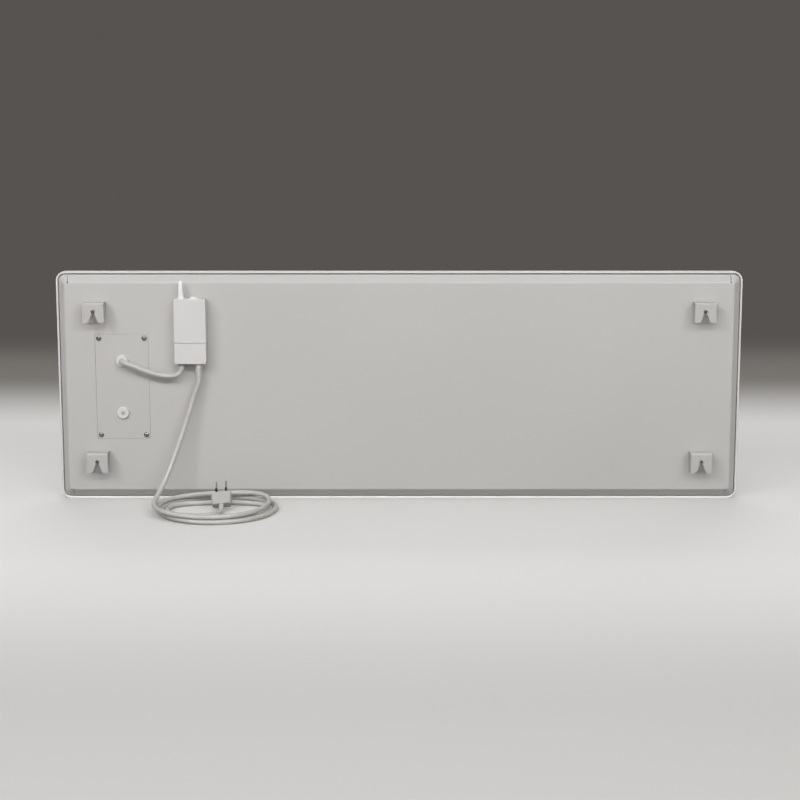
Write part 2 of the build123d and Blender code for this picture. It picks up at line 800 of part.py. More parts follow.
def receiver_base():
    """The shallow half on the panel, with posts for the circuit board and a rib for the clamp."""
    side = receiver_width / 2 + 1
    base = receiver_block() & block(receiver_x - side, receiver_x + side, receiver_split_y,
                                    receiver_front_y, receiver_base_z, receiver_top_z)
    inner = receiver_width / 2 - receiver_wall
    base -= block(receiver_x - inner, receiver_x + inner, receiver_split_y, floor_y,
                  receiver_base_z + receiver_wall, receiver_top_z - receiver_wall)
    for x, z in post_places():
        base += rod_y(post_r, pcb_y, floor_y, x, z)
    rib_y = fitting_y + cord_r
    base += block(receiver_x - inner + rib_clear, receiver_x + inner - rib_clear, rib_y, floor_y,
                  clamp_z - rib_height / 2, clamp_z + rib_height / 2)
    base += rod_y(clamp_post_r, clamp_y, floor_y, clamp_x, clamp_z)
    base -= rod_y(clamp_screw_r, clamp_y, floor_y, clamp_x, clamp_z)
    return base


def receiver_cord_clamp():
    """The bar that presses both cords to the rib."""
    high_y = fitting_y - cord_r
    bar = slab(clamp_length, clamp_height, clamp_low_y, high_y, clamp_x, clamp_z)
    return bar - rod_y(clamp_screw_r + screw_clear, clamp_low_y, high_y, clamp_x, clamp_z)


def receiver_cover():
    """The tall hood with the fittings on its top."""
    hood = receiver_shell(seam_z + seam_gap / 2, receiver_top_z)
    top_low = receiver_top_z - receiver_wall
    hood -= rod_z(antenna_foot_r, top_low, receiver_top_z, antenna_x, fitting_y)
    hood -= rod_z(button_r + button_clear, top_low, receiver_top_z, button_x, fitting_y)
    hood -= rod_z(led_r, top_low, receiver_top_z, led_x, fitting_y)
    return hood


def receiver_terminal_cover():
    """The short hood over the cord entries."""
    hood = receiver_shell(receiver_base_z, seam_z - seam_gap / 2)
    for x in (link_inlet_x, mains_inlet_x):
        hood -= rod_z(inlet_neck_r, receiver_base_z, receiver_base_z + receiver_wall, x, fitting_y)
    return hood


def receiver_antenna():
    """Stub aerial: a flared collar, a slightly tapered body and a round tip."""
    base_z = receiver_top_z
    tip_z = base_z + antenna_length
    shoulder_z = tip_z - antenna_tip_r
    collar_z = base_z + antenna_collar_thick
    with BuildPart() as stub:
        with BuildSketch(Plane(origin=(antenna_x, fitting_y, 0), x_dir=(1, 0, 0), z_dir=(0, -1, 0))):
            with BuildLine():
                Polyline((0, base_z), (antenna_collar_r, base_z), (antenna_collar_r, collar_z),
                         (antenna_base_r, collar_z + antenna_collar_taper), (antenna_tip_r, shoulder_z))
                CenterArc((0, shoulder_z), antenna_tip_r, 0, 90)
                Line((0, tip_z), (0, base_z))
            make_face()
        revolve(axis=Axis((antenna_x, fitting_y, 0), (0, 0, 1)))
    foot_low_z = base_z - receiver_wall - antenna_foot_length
    foot = rod_z(antenna_foot_r, foot_low_z, base_z, antenna_x, fitting_y)
    return stub.part + foot


def button_ring():
    """The flared ring round the button."""
    body = rod_z(button_ring_r, receiver_top_z, receiver_top_z + button_ring_thick, button_x, fitting_y)
    rim = [e for e in body.edges() if abs(e.center().Z - receiver_top_z - button_ring_thick) < 1e-4]
    body = chamfer(rim, button_ring_slope, button_ring_taper)
    return body - rod_z(button_r + button_clear, receiver_top_z,
                        receiver_top_z + button_ring_thick, button_x, fitting_y)


def receiver_button():
    """The cap, the flange that keeps it in the hood and the stem over the switch."""
    cap = rod_z(button_r, flange_top_z, receiver_top_z + button_rise, button_x, fitting_y)
    rim = [e for e in cap.edges() if abs(e.center().Z - receiver_top_z - button_rise) < 1e-4]
    cap = fillet(rim, button_edge)
    flange = rod_z(button_flange_r, flange_top_z - button_flange_thick, flange_top_z, button_x, fitting_y)
    return cap + flange + rod_z(button_stem_r, stem_low_z, flange_top_z, button_x, fitting_y)


def tact_switch():
    """Side-acting switch on the circuit board, under the button."""
    high = plunger_top_z - plunger_rise
    half = switch_width / 2
    body = block(button_x - half, button_x + half, 2 * fitting_y - pcb_back_y, pcb_back_y,
                 high - switch_height, high)
    return body + rod_z(plunger_r, high, plunger_top_z, button_x, fitting_y)


def led_lens():
    pipe = rod_z(led_r, receiver_top_z - led_depth, receiver_top_z + led_rise, led_x, fitting_y)
    rim = [e for e in pipe.edges() if abs(e.center().Z - receiver_top_z - led_rise) < 1e-4]
    return fillet(rim, led_edge)


def circuit_board():
    board = slab(pcb_width, pcb_z[1] - pcb_z[0], pcb_back_y, pcb_y, receiver_x, pcb_mid_z)
    for x, z in post_places():
        board -= rod_y(post_screw_r, pcb_back_y, pcb_y, x, z)
    return board


def receiver_screws():
    """The screws of the circuit board and of the cord clamp."""
    head_low_y = pcb_back_y - post_screw_head_thick
    screws = [rod_y(post_screw_head_r, head_low_y, pcb_back_y, x, z)
              + rod_y(post_screw_r, pcb_back_y, pcb_y, x, z)
              for x, z in post_places()]
    clamp_head_low_y = clamp_low_y - clamp_screw_head_thick
    head = rod_y(clamp_screw_head_r, clamp_head_low_y, clamp_low_y, clamp_x, clamp_z)
    return screws + [head + rod_y(clamp_screw_r, clamp_low_y, floor_y, clamp_x, clamp_z)]


def on_board(size, place, edge):
    """A boxed part on the circuit board, placed from the box's middle and the board's lower edge."""
    width, depth, height = size
    x, z = receiver_x + place[0], pcb_z[0] + place[1]
    body = slab(width, height, pcb_back_y - depth, pcb_back_y, x, z)
    return fillet(body.edges().filter_by(Axis.Y), edge)


def capacitor():
    x, z = receiver_x + capacitor_place[0], pcb_z[0] + capacitor_place[1]
    low = pcb_back_y - capacitor_depth
    return fillet(outer_edges(rod_y(capacitor_r, low, pcb_back_y, x, z), low), part_edge)


def fuse():
    """Glass fuse between its two clips."""
    z, y = pcb_z[0] + fuse_height, pcb_back_y - fuse_height
    width, depth, height = fuse_clip
    start = Plane(origin=(receiver_x - fuse_length / 2, y, z), z_dir=(1, 0, 0))
    clips = [slab(width, height, pcb_back_y - depth, pcb_back_y,
                  receiver_x + side * (fuse_length + width) / 2, z) for side in (-1, 1)]
    return [extrude(start * Circle(fuse_r), amount=fuse_length)] + clips


def receiver_terminals():
    """The screw terminals above the cord clamp, on the base."""
    width, depth, height = sockets_size
    low, z = floor_y - depth, sockets_low_z + height / 2
    body = slab(width, height, low, floor_y, receiver_x, z)
    for x in sockets_x:
        body -= rod_y(socket_r, low, low + socket_depth, x, z)
    return body


def receiver_terminal_screws():
    _, depth, height = sockets_size
    low, z = floor_y - depth, sockets_low_z + height / 2
    return [rod_y(socket_screw_r, low + socket_screw_sunk, low + socket_depth, x, z) for x in sockets_x]


# ---- cord fittings and fixed cord ends ----
def link_grommet():
    """Ring round the link cord where it enters the box."""
    low_z, high_z = receiver_base_z - grommet_length, receiver_base_z + receiver_wall
    collar = rod_z(bore_r + grommet_wall, low_z, receiver_base_z, link_inlet_x, fitting_y)
    rim = [e for e in collar.edges() if abs(e.center().Z - low_z) < 1e-4]
    collar = fillet(rim, grommet_edge)
    neck = rod_z(inlet_neck_r, receiver_base_z, high_z, link_inlet_x, fitting_y)
    return collar + neck - rod_z(bore_r, low_z, high_z, link_inlet_x, fitting_y)


def mains_strain_relief():
    """Tapered sleeve on the mains cord, with a neck in the box's wall."""
    low_z = receiver_base_z - mains_relief_length
    top = Pos(mains_inlet_x, fitting_y, receiver_base_z) * Circle(bore_r + mains_relief_top_wall)
    tip = Pos(mains_inlet_x, fitting_y, low_z) * Circle(bore_r + mains_relief_tip_wall)
    sleeve = loft([tip, top], ruled=True)
    neck = rod_z(inlet_neck_r, receiver_base_z, receiver_base_z + receiver_wall, mains_inlet_x, fitting_y)
    return sleeve + neck - rod_z(bore_r, low_z, receiver_base_z + receiver_wall, mains_inlet_x, fitting_y)


def fixed_cord_ends():
    """The cords' ends that the gland, grommet, sleeve and clamp hold."""
    high_z = receiver_base_z + held_cord_length
    return [
        rod_y(cord_r, gland_face_y, gland_end_y - held_cord_short, plate_x, gland_z["upper"]),
        rod_z(cord_r, receiver_base_z - grommet_length, high_z, link_inlet_x, fitting_y),
        rod_z(cord_r, receiver_base_z - mains_relief_length, high_z, mains_inlet_x, fitting_y),
    ]


# ---- free cords ----
# The link cord leaves the upper gland, sags beside the service plate and rises into the box.
link_route = [
    (plate_x, gland_face_y, gland_z["upper"]),
    (plate_x, -10.6, gland_z["upper"]),
    (-363.4, -15.4, 187.0),
    (-356.4, -17.0, 185.1),
    (-346.0, -16.6, 181.2),
    (-333.0, -15.6, 175.6),
    (-319.0, -15.0, 171.2),
    (-306.0, -14.4, 169.0),
    (-295.2, -13.4, 169.4),
    (-288.6, -12.7, 173.0),
    (link_inlet_x, fitting_y, 178.0),
    (link_inlet_x, fitting_y, receiver_base_z - grommet_length),
]

# The mains cord drops from the box, leans out and lands on its own coil.
mains_route = [
    (mains_inlet_x, fitting_y, receiver_base_z - mains_relief_length),
    (mains_inlet_x, fitting_y, 152.0),
    (-274.0, -13.6, 133.0),
    (-285.4, -17.0, 107.0),
    (-293.6, -22.6, 80.0),
    (-301.6, -30.0, 55.0),
    (-309.4, -40.0, 34.0),
    (-314.2, -52.0, 21.5),
    (-315.7, -68.5, 15.0),
]

# The coil lies loose on the floor: three turns, the first on top of the other two, then a
# shorter quarter that brings the cord round to the plug. Each turn has its furthest point to
# the left, the front, the right and the rear; heights are those of the cord's centre.
floor_z = cord_r + floor_gap
turn_left = [(-315.5, -88.0, 13.6), (-311.0, -79.0, 6.4), (-303.7, -77.0, floor_z), (-296.5, -74.0, floor_z)]
turn_front = [(-240.0, -143.6, 10.6), (-238.0, -147.3, floor_z), (-238.0, -139.9, floor_z)]
turn_right = [(-170.0, -68.0, 11.4), (-160.8, -62.0, floor_z), (-168.2, -62.0, floor_z)]
turn_rear = [(-236.0, -8.6, 12.6), (-238.0, -13.4, 4.4), (-234.0, -39.2, floor_z)]
tail_front = (-262.0, -119.0, floor_z)


def plug_axes():
    """Unit vectors along the plug's blades, across them and square to both, upwards."""
    tilt, roll = math.radians(plug_tilt), math.radians(plug_roll)
    along = Vector(-math.sin(roll) * math.sin(tilt), math.cos(tilt), math.cos(roll) * math.sin(tilt))
    across = Vector(math.cos(roll), 0, math.sin(roll))
    return along, across, across.cross(along)


def cord_exit_height():
    """The cord lies on the floor, turns up by one bend and runs one diameter straight."""
    lift = math.asin(plug_axes()[0].Z)
    return floor_z + plug_cord_bend * (1 - math.cos(lift)) + cord_diameter * math.sin(lift)


def plug_frame():
    """The plug's own axes: Z along its blades, X across them, Y towards its underside."""
    along, across, upwards = plug_axes()
    origin = Vector(plug_x, plug_y, cord_exit_height() - cord_offset * upwards.Z)
    return Plane(origin=origin, x_dir=across, z_dir=along)


def coil_path():
    """The coil's centre line: a straight end, quarter turns and the straight end at the plug."""
    headings = [Vector(0, -1, 0), Vector(1, 0, 0), Vector(0, 1, 0), Vector(-1, 0, 0)]
    stations = []
    for turn, (front, right, rear) in enumerate(zip(turn_front, turn_right, turn_rear)):
        stations += [turn_left[turn], front, right, rear]
    stations += [turn_left[-1], tail_front]
    stations = [Vector(*station) for station in stations]
    directions = []
    for index, place in enumerate(stations):
        before = stations[max(index - 1, 0)]
        after = stations[min(index + 1, len(stations) - 1)]
        rise = coil_slope_share * (after.Z - before.Z) / (after - before).length
        slope = rise if place.Z > floor_z else 0.0
        directions.append((headings[index % 4] + Vector(0, 0, slope)).normalized())
    directions[0] = (stations[0] - Vector(*mains_route[-1])).normalized()

    along, _, upwards = plug_axes()
    level = Vector(along.X, along.Y, 0).normalized()
    lift = math.asin(along.Z)
    cord_exit = plug_frame().origin + upwards * cord_offset
    bend_end = cord_exit - along * cord_diameter
    bend_start = bend_end - level * (plug_cord_bend * math.sin(lift))
    bend_start -= Vector(0, 0, plug_cord_bend * (1 - math.cos(lift)))
    stations += [bend_start, bend_end]
    directions += [level, along]

    edges = [Line(stations[0] - directions[0] * cord_diameter, stations[0])]
    for here, there, leave, arrive in zip(stations, stations[1:], directions, directions[1:]):
        edges += biarc(here, leave, there, arrive)
    edges.append(Line(bend_end, cord_exit))
    return Wire([edge for item in edges for edge in item.edges()])


def mains_cord_coil():
    path = coil_path()
    section = Plane(origin=path @ 0, z_dir=path % 0) * Circle(cord_r)
    solid = sweep(section, path=path)
    share = solid.volume / (math.pi * cord_r ** 2 * path.length)
    print(f"mains_cord_coil: length {path.length:.1f}, volume share {share:.4f}, "
          f"least gap to itself {least_gap(path, cord_diameter):.2f}, "
          f"lowest {solid.bounding_box().min.Z:.3f}")
    return solid


# ---- plug ----
def plug_body():
    """Flat moulded body, a little narrower where the cord enters."""
    cord_end = RectangleRounded(plug_width - plug_neck_narrower, plug_thick - plug_neck_thinner, plug_corner)
    blade_end = RectangleRounded(plug_width, plug_thick, plug_corner)
    body = loft([Pos(0, 0, 0) * cord_end, Pos(0, 0, plug_length) * blade_end], ruled=True)
    ends = [f for f in body.faces() if abs(f.normal_at().Z) > 0.999]
    body = fillet([e for f in ends for e in f.edges()], plug_edge)
    return plug_frame() * body


def plug_blades():
    blades = []
    for side in (-1, 1):
        blade = Pos(side * blade_spacing / 2, 0, plug_length + blade_length / 2) * Box(
            blade_thick, blade_width, blade_length)
        tip = blade.faces().sort_by(Axis.Z)[-1].edges().filter_by(Axis.X)
        blade = chamfer(tip, blade_tip)
        hole_z = plug_length + blade_length - blade_hole_from_tip
        hole = Pos(side * blade_spacing / 2, 0, hole_z) * Rot(0, 90, 0)
        blades.append(plug_frame() * (blade - hole * Cylinder(blade_hole_r, blade_thick * 2)))
    return blades


def blade_sleeves():
    """Insulating sleeves round the roots of the blades."""
    sleeves = []
    for side in (-1, 1):
        place = Pos(side * blade_spacing / 2, 0, plug_length + sleeve_length / 2)
        outside = Box(blade_thick + 2 * sleeve_wall, blade_width + 2 * sleeve_wall, sleeve_length)
        sleeves.append(plug_frame() * (place * (outside - Box(blade_thick, blade_width, sleeve_length))))
    return sleeves


# ---- build every sub-part ----
panel_parts = {
    "front_panel": front_panel,
    "heating_film": heating_film,
    "bus_bars": lambda: [bus_bar(z) for z in bus_bar_z.values()],
    "mica_sheet": mica_sheet,
    "insulation_board": insulation_board,
    "reflective_foil": reflective_foil,
    "spacer_pads": spacer_pads,
    "perimeter_sealant": perimeter_sealant,
    "rear_cover": rear_cover,
    "bracket_rivets": bracket_rivets,
    "service_frame": service_frame,
    "service_gasket": service_gasket,
    "service_plate": service_plate,
    "service_screws": service_screws,
    "service_nuts": service_nuts,
    "cable_gland": lambda: cable_gland(gland_z["upper"], bore_r),
    "gland_nuts": lambda: [gland_nut(z) for z in gland_z.values()],
    "spare_gland": lambda: cable_gland(gland_z["lower"], plug_insert_r),
    "blanking_plug": blanking_plug,
    "terminal_pad": terminal_pad,
    "terminal_block": terminal_block,
    "terminal_screws": terminal_screws,
    "thermal_cutout": thermal_cutout,
    "earth_stud": earth_stud,
}
receiver_parts = {
    "receiver_pad": receiver_pad,
    "receiver_base": receiver_base,
    "receiver_cover": receiver_cover,
    "receiver_terminal_cover": receiver_terminal_cover,
    "receiver_antenna": receiver_antenna,
    "receiver_button": receiver_button,
    "button_ring": button_ring,
    "led_lens": led_lens,
    "circuit_board": circuit_board,
    "receiver_screws": receiver_screws,
    "tact_switch": tact_switch,
    "power_relay": lambda: on_board(relay_size, relay_place, relay_edge),
    "power_module": lambda: on_board(module_size, module_place, part_edge),
    "capacitor": capacitor,
    "fuse": fuse,
    "receiver_terminals": receiver_terminals,
    "receiver_terminal_screws": receiver_terminal_screws,
    "receiver_cord_clamp": receiver_cord_clamp,
    "link_grommet": link_grommet,
    "mains_strain_relief": mains_strain_relief,
    "fixed_cord_ends": fixed_cord_ends,
}
cord_parts = {
    "link_cord": lambda: tube("link_cord", link_route, cord_diameter),
    "mains_cord": lambda: tube("mains_cord", mains_route + [coil_path() @ 0], cord_diameter),
    "mains_cord_coil": mains_cord_coil,
    "plug_body": plug_body,
    "plug_blades": plug_blades,
    "blade_sleeves": blade_sleeves,
}

for group in (panel_parts, receiver_parts, cord_parts):
    for name, make in group.items():
        save(name, make())

for level, height in bracket_hole_z.items():
    for side, x in bracket_x.items():
        save(f"bracket_{level}_{side}", bracket(x, height))

for name, points in panel_leads().items():
    save(name, tube(name, points, 2 * lead_r))
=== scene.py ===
# Looks for a slim infrared panel heater that stands on its long edge, seen from its wall side.
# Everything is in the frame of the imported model: X along the panel, +Y out of the warm front, Z up,
# the floor at zero. The pieces' and materials' dictionaries are in millimetres, and the camera's and
# the studio's in metres.
import math

import bmesh
import bpy
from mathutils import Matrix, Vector


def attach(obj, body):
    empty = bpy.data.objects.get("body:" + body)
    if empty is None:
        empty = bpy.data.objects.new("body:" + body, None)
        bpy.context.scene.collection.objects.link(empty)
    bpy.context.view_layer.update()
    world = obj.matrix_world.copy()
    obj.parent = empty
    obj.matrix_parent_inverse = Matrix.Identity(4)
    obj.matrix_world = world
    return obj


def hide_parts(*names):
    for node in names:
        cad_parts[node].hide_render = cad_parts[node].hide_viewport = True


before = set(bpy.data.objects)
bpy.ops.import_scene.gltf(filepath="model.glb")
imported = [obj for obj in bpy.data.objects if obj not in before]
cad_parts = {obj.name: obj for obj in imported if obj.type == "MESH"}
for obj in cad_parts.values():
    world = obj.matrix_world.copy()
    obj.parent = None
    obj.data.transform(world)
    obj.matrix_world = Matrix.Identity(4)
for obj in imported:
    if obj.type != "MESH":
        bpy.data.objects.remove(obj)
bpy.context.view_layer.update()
scene = bpy.context.scene
print("frame loaded:", len(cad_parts), "nodes")


# small helpers
def metres(values):
    return tuple(v / 1000.0 for v in values)


def linear(hexColour):  # "#rrggbb" as it looks on screen, to the linear value a socket takes
    parts = [int(hexColour[i:i + 2], 16) / 255.0 for i in (1, 3, 5)]
    parts = [p / 12.92 if p <= 0.04045 else ((p + 0.055) / 1.055) ** 2.4 for p in parts]
    return (*parts, 1.0)


def perMetre(size):  # a texture scale whose pattern repeats about every size millimetres
    return 1000.0 / size


def addNode(tree, kind, inputs=None, **settings):  # sockets take a value, or another node's output
    node = tree.nodes.new(kind)
    for name, value in settings.items():
        setattr(node, name, value)
    for key, value in (inputs or {}).items():
        if isinstance(value, bpy.types.NodeSocket):
            tree.links.new(value, node.inputs[key])
        else:
            node.inputs[key].default_value = value
    return node


def newObject(name, data):
    made = bpy.data.objects.new(name, data)
    scene.collection.objects.link(made)
    return made


def smoothShade(mesh, angle=35.0):
    mesh.shade_smooth()
    mesh.set_sharp_from_angle(angle=math.radians(angle))


# the camera, where the photographer stood
view = {  # the lens and the sensor are in millimetres
    "place": (0.001, -2.278, 0.516),
    "downDegrees": 9.5,
    "lens": 78.26,
    "sensor": 36.0,
    "nearest": 0.05,
    "furthest": 40.0,
}


def placeCamera():
    data = bpy.data.cameras.new("viewCamera")
    data.lens = view["lens"]
    data.sensor_width = view["sensor"]
    data.clip_start = view["nearest"]
    data.clip_end = view["furthest"]
    camera = newObject("viewCamera", data)
    camera.location = view["place"]
    camera.rotation_euler = (math.radians(90.0 - view["downDegrees"]), 0.0, 0.0)
    scene.camera = camera


placeCamera()
scene.view_settings.view_transform = "Standard"
print("camera placed")


# materials: each starts from the real stuff and how its surface was made; the tray's rim also carries
# painted shade
def startMaterial(name, colour, roughness, metallic=0.0, **sockets):
    material = bpy.data.materials.new(name)
    material.use_nodes = True
    tree = material.node_tree
    tree.nodes.clear()
    shader = addNode(tree, "ShaderNodeBsdfPrincipled", {
        "Base Color": linear(colour), "Roughness": roughness, "Metallic": metallic})
    for key, value in sockets.items():
        shader.inputs[key.replace("_", " ")].default_value = value
    addNode(tree, "ShaderNodeOutputMaterial", {"Surface": shader.outputs[0]})
    place = addNode(tree, "ShaderNodeTexCoord").outputs["Object"]
    return material, tree, shader, place


def noise(tree, place, size, detail=2.0, stretch=None, distortion=0.0):
    if stretch:
        place = addNode(tree, "ShaderNodeMapping", {"Vector": place, "Scale": stretch}).outputs[0]
    return addNode(tree, "ShaderNodeTexNoise", {
        "Vector": place, "Scale": perMetre(size), "Detail": detail,
        "Distortion": distortion}).outputs["Fac"]


def remap(tree, value, low, high, fromLow=0.3, fromHigh=0.7):  # a noise mostly stays between .3 and .7
    return addNode(tree, "ShaderNodeMapRange", {
        "Value": value, "From Min": fromLow, "From Max": fromHigh,
        "To Min": low, "To Max": high}).outputs["Result"]


def tint(tree, shader, factor, first, second):  # colour wanders between two near tones
    mixed = addNode(tree, "ShaderNodeMix", {
        "Factor": factor, "A": linear(first), "B": linear(second)}, data_type="RGBA")
    tree.links.new(mixed.outputs["Result"], shader.inputs["Base Color"])
    return mixed


def gloss(tree, shader, value, low, high, *span):  # roughness wanders between two values
    tree.links.new(remap(tree, value, low, high, *span), shader.inputs["Roughness"])


def relief(tree, shader, layers):  # (height, depth in millimetres) from the broadest to the finest
    normal = None
    for height, depth in layers:
        inputs = {"Height": height, "Strength": 1.0, "Distance": depth / 1000.0}
        if normal:
            inputs["Normal"] = normal
        normal = addNode(tree, "ShaderNodeBump", inputs).outputs["Normal"]
    tree.links.new(normal, shader.inputs["Normal"])


coat = {  # polyester powder coat on steel sheet, baked: fine satin skin with a faint orange peel
    "peelSize": 2.6,      # real peel is 1 to 2 mm, drawn a little coarser so that it shows
    "peelDepth": 0.012,
    "grainSize": 0.7,
    "grainDepth": 0.004,
    "waveSize": 240.0,    # thin sheet is never quite flat
    "waveDepth": 0.10,
    "toneSize": 170.0,
    "sheenSize": 60.0,
    "sheenDrift": 0.02,
    "shadedRimDepth": (16.0, 20.0),  # painted shade: the rim turns from painted grey to its real white over this depth, towards the front
    "foot": (3.0, 5.0),   # and from white to grey over this height, up from the floor: the lower rim is left white, as if lit from above
}


def powderCoat(name, tone, shade, roughness, front=None):
    material, tree, shader, place = startMaterial(name, tone, roughness, IOR=1.5)
    drift = noise(tree, place, coat["toneSize"], 0.0)
    mixed = tint(tree, shader, remap(tree, drift, 0.0, 1.0, 0.1, 0.9), tone, shade)
    if front:  # white, with painted shade in grey over the rim, but not over its foot, which stays white as if lit from above
        axes = addNode(tree, "ShaderNodeSeparateXYZ", {"Vector": place}).outputs
        white = addNode(tree, "ShaderNodeMath", {
            0: remap(tree, axes["Y"], 0.0, 1.0, *metres(coat["shadedRimDepth"])),
            1: remap(tree, axes["Z"], 1.0, 0.0, *metres(coat["foot"]))}, operation="MAXIMUM").outputs[0]
        both = addNode(tree, "ShaderNodeMix", {
            "Factor": white, "A": mixed.outputs["Result"], "B": linear(front)}, data_type="RGBA")
        tree.links.new(both.outputs["Result"], shader.inputs["Base Color"])
    handled = noise(tree, place, coat["sheenSize"], 1.0)
    gloss(tree, shader, handled, roughness - coat["sheenDrift"], roughness + coat["sheenDrift"], 0.1, 0.9)
    relief(tree, shader, [
        (noise(tree, place, coat["waveSize"], 1.0), coat["waveDepth"]),
        (noise(tree, place, coat["peelSize"], 1.5), coat["peelDepth"]),
        (noise(tree, place, coat["grainSize"], 2.0), coat["grainDepth"])])
    return material


moulding = {  # injection moulded: even colour, a spark-eroded skin that scatters light
    "flowSize": 28.0,  # flow marks, longer along the draw
    "flowStretch": (1.0, 1.0, 0.35),
    "wearSize": 9.0,
    "wear": (-0.04, 0.05),
}


def mouldedPlastic(name, tone, shade, roughness, grain=0.9, depth=0.012, **sockets):
    material, tree, shader, place = startMaterial(name, tone, roughness, **sockets)
    flow = noise(tree, place, moulding["flowSize"], 2.0, stretch=moulding["flowStretch"])
    tint(tree, shader, remap(tree, flow, 0.0, 1.0), tone, shade)
    worn = noise(tree, place, moulding["wearSize"], 3.0)
    gloss(tree, shader, worn, *(roughness + w for w in moulding["wear"]))
    relief(tree, shader, [(noise(tree, place, grain, 2.5), depth)])
    return material


sheath = {  # extruded PVC: smooth, slightly greasy sheen, with faint ripples from the die
    "smudgeSize": 17.0,
    "sheenSize": 6.0,
    "sheen": (-0.05, 0.06),
    "rippleSize": 7.0,
    "rippleDepth": 0.05,
    "grainSize": 1.1,
    "grainDepth": 0.01,
    "lightReach": (0.0012, 0.0011, 0.0009),  # how far light wanders inside, in metres
}


def sheathPvc(name, tone, shade, roughness):
    material, tree, shader, place = startMaterial(
        name, tone, roughness, IOR=1.53, Subsurface_Weight=0.04, Sheen_Weight=0.06)
    shader.inputs["Subsurface Radius"].default_value = sheath["lightReach"]
    smudge = noise(tree, place, sheath["smudgeSize"], 3.0)
    tint(tree, shader, remap(tree, smudge, 0.0, 1.0), tone, shade)
    greasy = noise(tree, place, sheath["sheenSize"], 2.0)
    gloss(tree, shader, greasy, *(roughness + r for r in sheath["sheen"]))
    relief(tree, shader, [
        (noise(tree, place, sheath["rippleSize"], 1.0), sheath["rippleDepth"]),
        (noise(tree, place, sheath["grainSize"], 2.0), sheath["grainDepth"])])
    return material


plating = {  # plated steel or brass: bright, with short drawn or tumbled scratches under the plate
    "tarnishSize": 5.0,
    "handlingSize": 1.6,
    "handling": (-0.06, 0.08),
    "scratchSize": 0.35,
    "scratchDepth": 0.004,
}


def platedMetal(name, tone, shade, roughness, along=(1.0, 1.0, 1.0)):
    material, tree, shader, place = startMaterial(name, tone, roughness, metallic=1.0)
    tarnish = noise(tree, place, plating["tarnishSize"], 3.0)
    tint(tree, shader, remap(tree, tarnish, 0.0, 1.0), tone, shade)
    handled = noise(tree, place, plating["handlingSize"], 2.0)
    gloss(tree, shader, handled, *(roughness + h for h in plating["handling"]))
    relief(tree, shader, [
        (noise(tree, place, plating["scratchSize"], 2.0, stretch=along), plating["scratchDepth"])])
    return material


film = {  # screen-printed carbon ink under polyester: dark and glossy, in fine bands
    "bandPitch": 3.77,
    "inkDepth": 0.02,
    "grainSize": 1.2,
    "grainDepth": 0.005,
}


def carbonFilm(name):
    material, tree, shader, place = startMaterial(name, "#17181a", 0.22, Coat_Weight=0.6)
    scale = math.pi / 10.0 * perMetre(film["bandPitch"])  # at a scale of 1 a wave is pi / 10 metres long
    bands = addNode(tree, "ShaderNodeTexWave", {
        "Vector": place, "Scale": scale, "Distortion": 0.0, "Detail": 0.0},
        wave_type="BANDS", bands_direction="Z", wave_profile="SIN").outputs["Fac"]
    tint(tree, shader, remap(tree, bands, 0.0, 1.0, 0.45, 0.6), "#121315", "#2b2c2f")
    relief(tree, shader, [
        (bands, film["inkDepth"]), (noise(tree, place, film["grainSize"]), film["grainDepth"])])
    return material


mica = {"flakeSize": 4.0, "flakeDepth": 0.03, "gloss": (0.22, 0.5)}  # pearly flakes, pressed in resin


def micaBoard(name):
    material, tree, shader, place = startMaterial(name, "#a99c85", 0.38, Coat_Weight=0.25)
    flakes = addNode(tree, "ShaderNodeTexVoronoi", {"Vector": place, "Scale": perMetre(mica["flakeSize"])},
                     feature="F1").outputs
    level = addNode(tree, "ShaderNodeSeparateColor", {"Color": flakes["Color"]}).outputs["Red"]
    tint(tree, shader, level, "#93876f", "#b9ad97")
    gloss(tree, shader, level, *mica["gloss"], 0.0, 1.0)
    relief(tree, shader, [(level, mica["flakeDepth"])])
    return material


wool = {  # pressed rock fibre: yellowish grey, in long loose fibres
    "fibreSize": 1.4,
    "fibreDepth": 0.35,
    "fibreStretch": (0.3, 1.0, 1.0),
    "clumpSize": 14.0,
    "clumpDepth": 0.5,
}


def mineralWool(name):
    material, tree, shader, place = startMaterial(name, "#b9ae8c", 0.95, Sheen_Weight=0.25)
    fibre = noise(tree, place, wool["fibreSize"], 6.0, stretch=wool["fibreStretch"], distortion=1.5)
    clump = noise(tree, place, wool["clumpSize"], 3.0)
    tint(tree, shader, remap(tree, fibre, 0.0, 1.0), "#9d9273", "#cfc5a4")
    relief(tree, shader, [(clump, wool["clumpDepth"]), (fibre, wool["fibreDepth"])])
    return material


foil = {  # bright rolled aluminium, laid by hand: shallow creases over fine rolling lines
    "creaseSize": 12.0,
    "creaseDepth": 0.4,
    "gloss": (0.16, 0.34),
    "lineSize": 0.8,
    "lineDepth": 0.01,
    "lineStretch": (0.1, 1.0, 1.0),
}


def rolledFoil(name):
    material, tree, shader, place = startMaterial(name, "#d4d5d7", 0.24, metallic=1.0)
    crease = noise(tree, place, foil["creaseSize"], 4.0, distortion=2.0)
    gloss(tree, shader, crease, *foil["gloss"])
    lines = noise(tree, place, foil["lineSize"], 1.0, stretch=foil["lineStretch"])
    relief(tree, shader, [(crease, foil["creaseDepth"]), (lines, foil["lineDepth"])])
    return material


foam = {"cellSize": 1.1, "cellDepth": 0.15}  # closed-cell foam or sponge rubber, its cells cut open


def cellFoam(name, tone, shade):
    material, tree, shader, place = startMaterial(name, tone, 0.9)
    cells = addNode(tree, "ShaderNodeTexVoronoi", {"Vector": place, "Scale": perMetre(foam["cellSize"])},
                    feature="F1").outputs["Distance"]
    tint(tree, shader, remap(tree, cells, 0.0, 1.0, 0.1, 0.6), tone, shade)
    relief(tree, shader, [(cells, foam["cellDepth"])])
    return material


ceramic = {"speckSize": 0.9, "grainSize": 0.6, "grainDepth": 0.02}  # unglazed steatite, chalky and specked


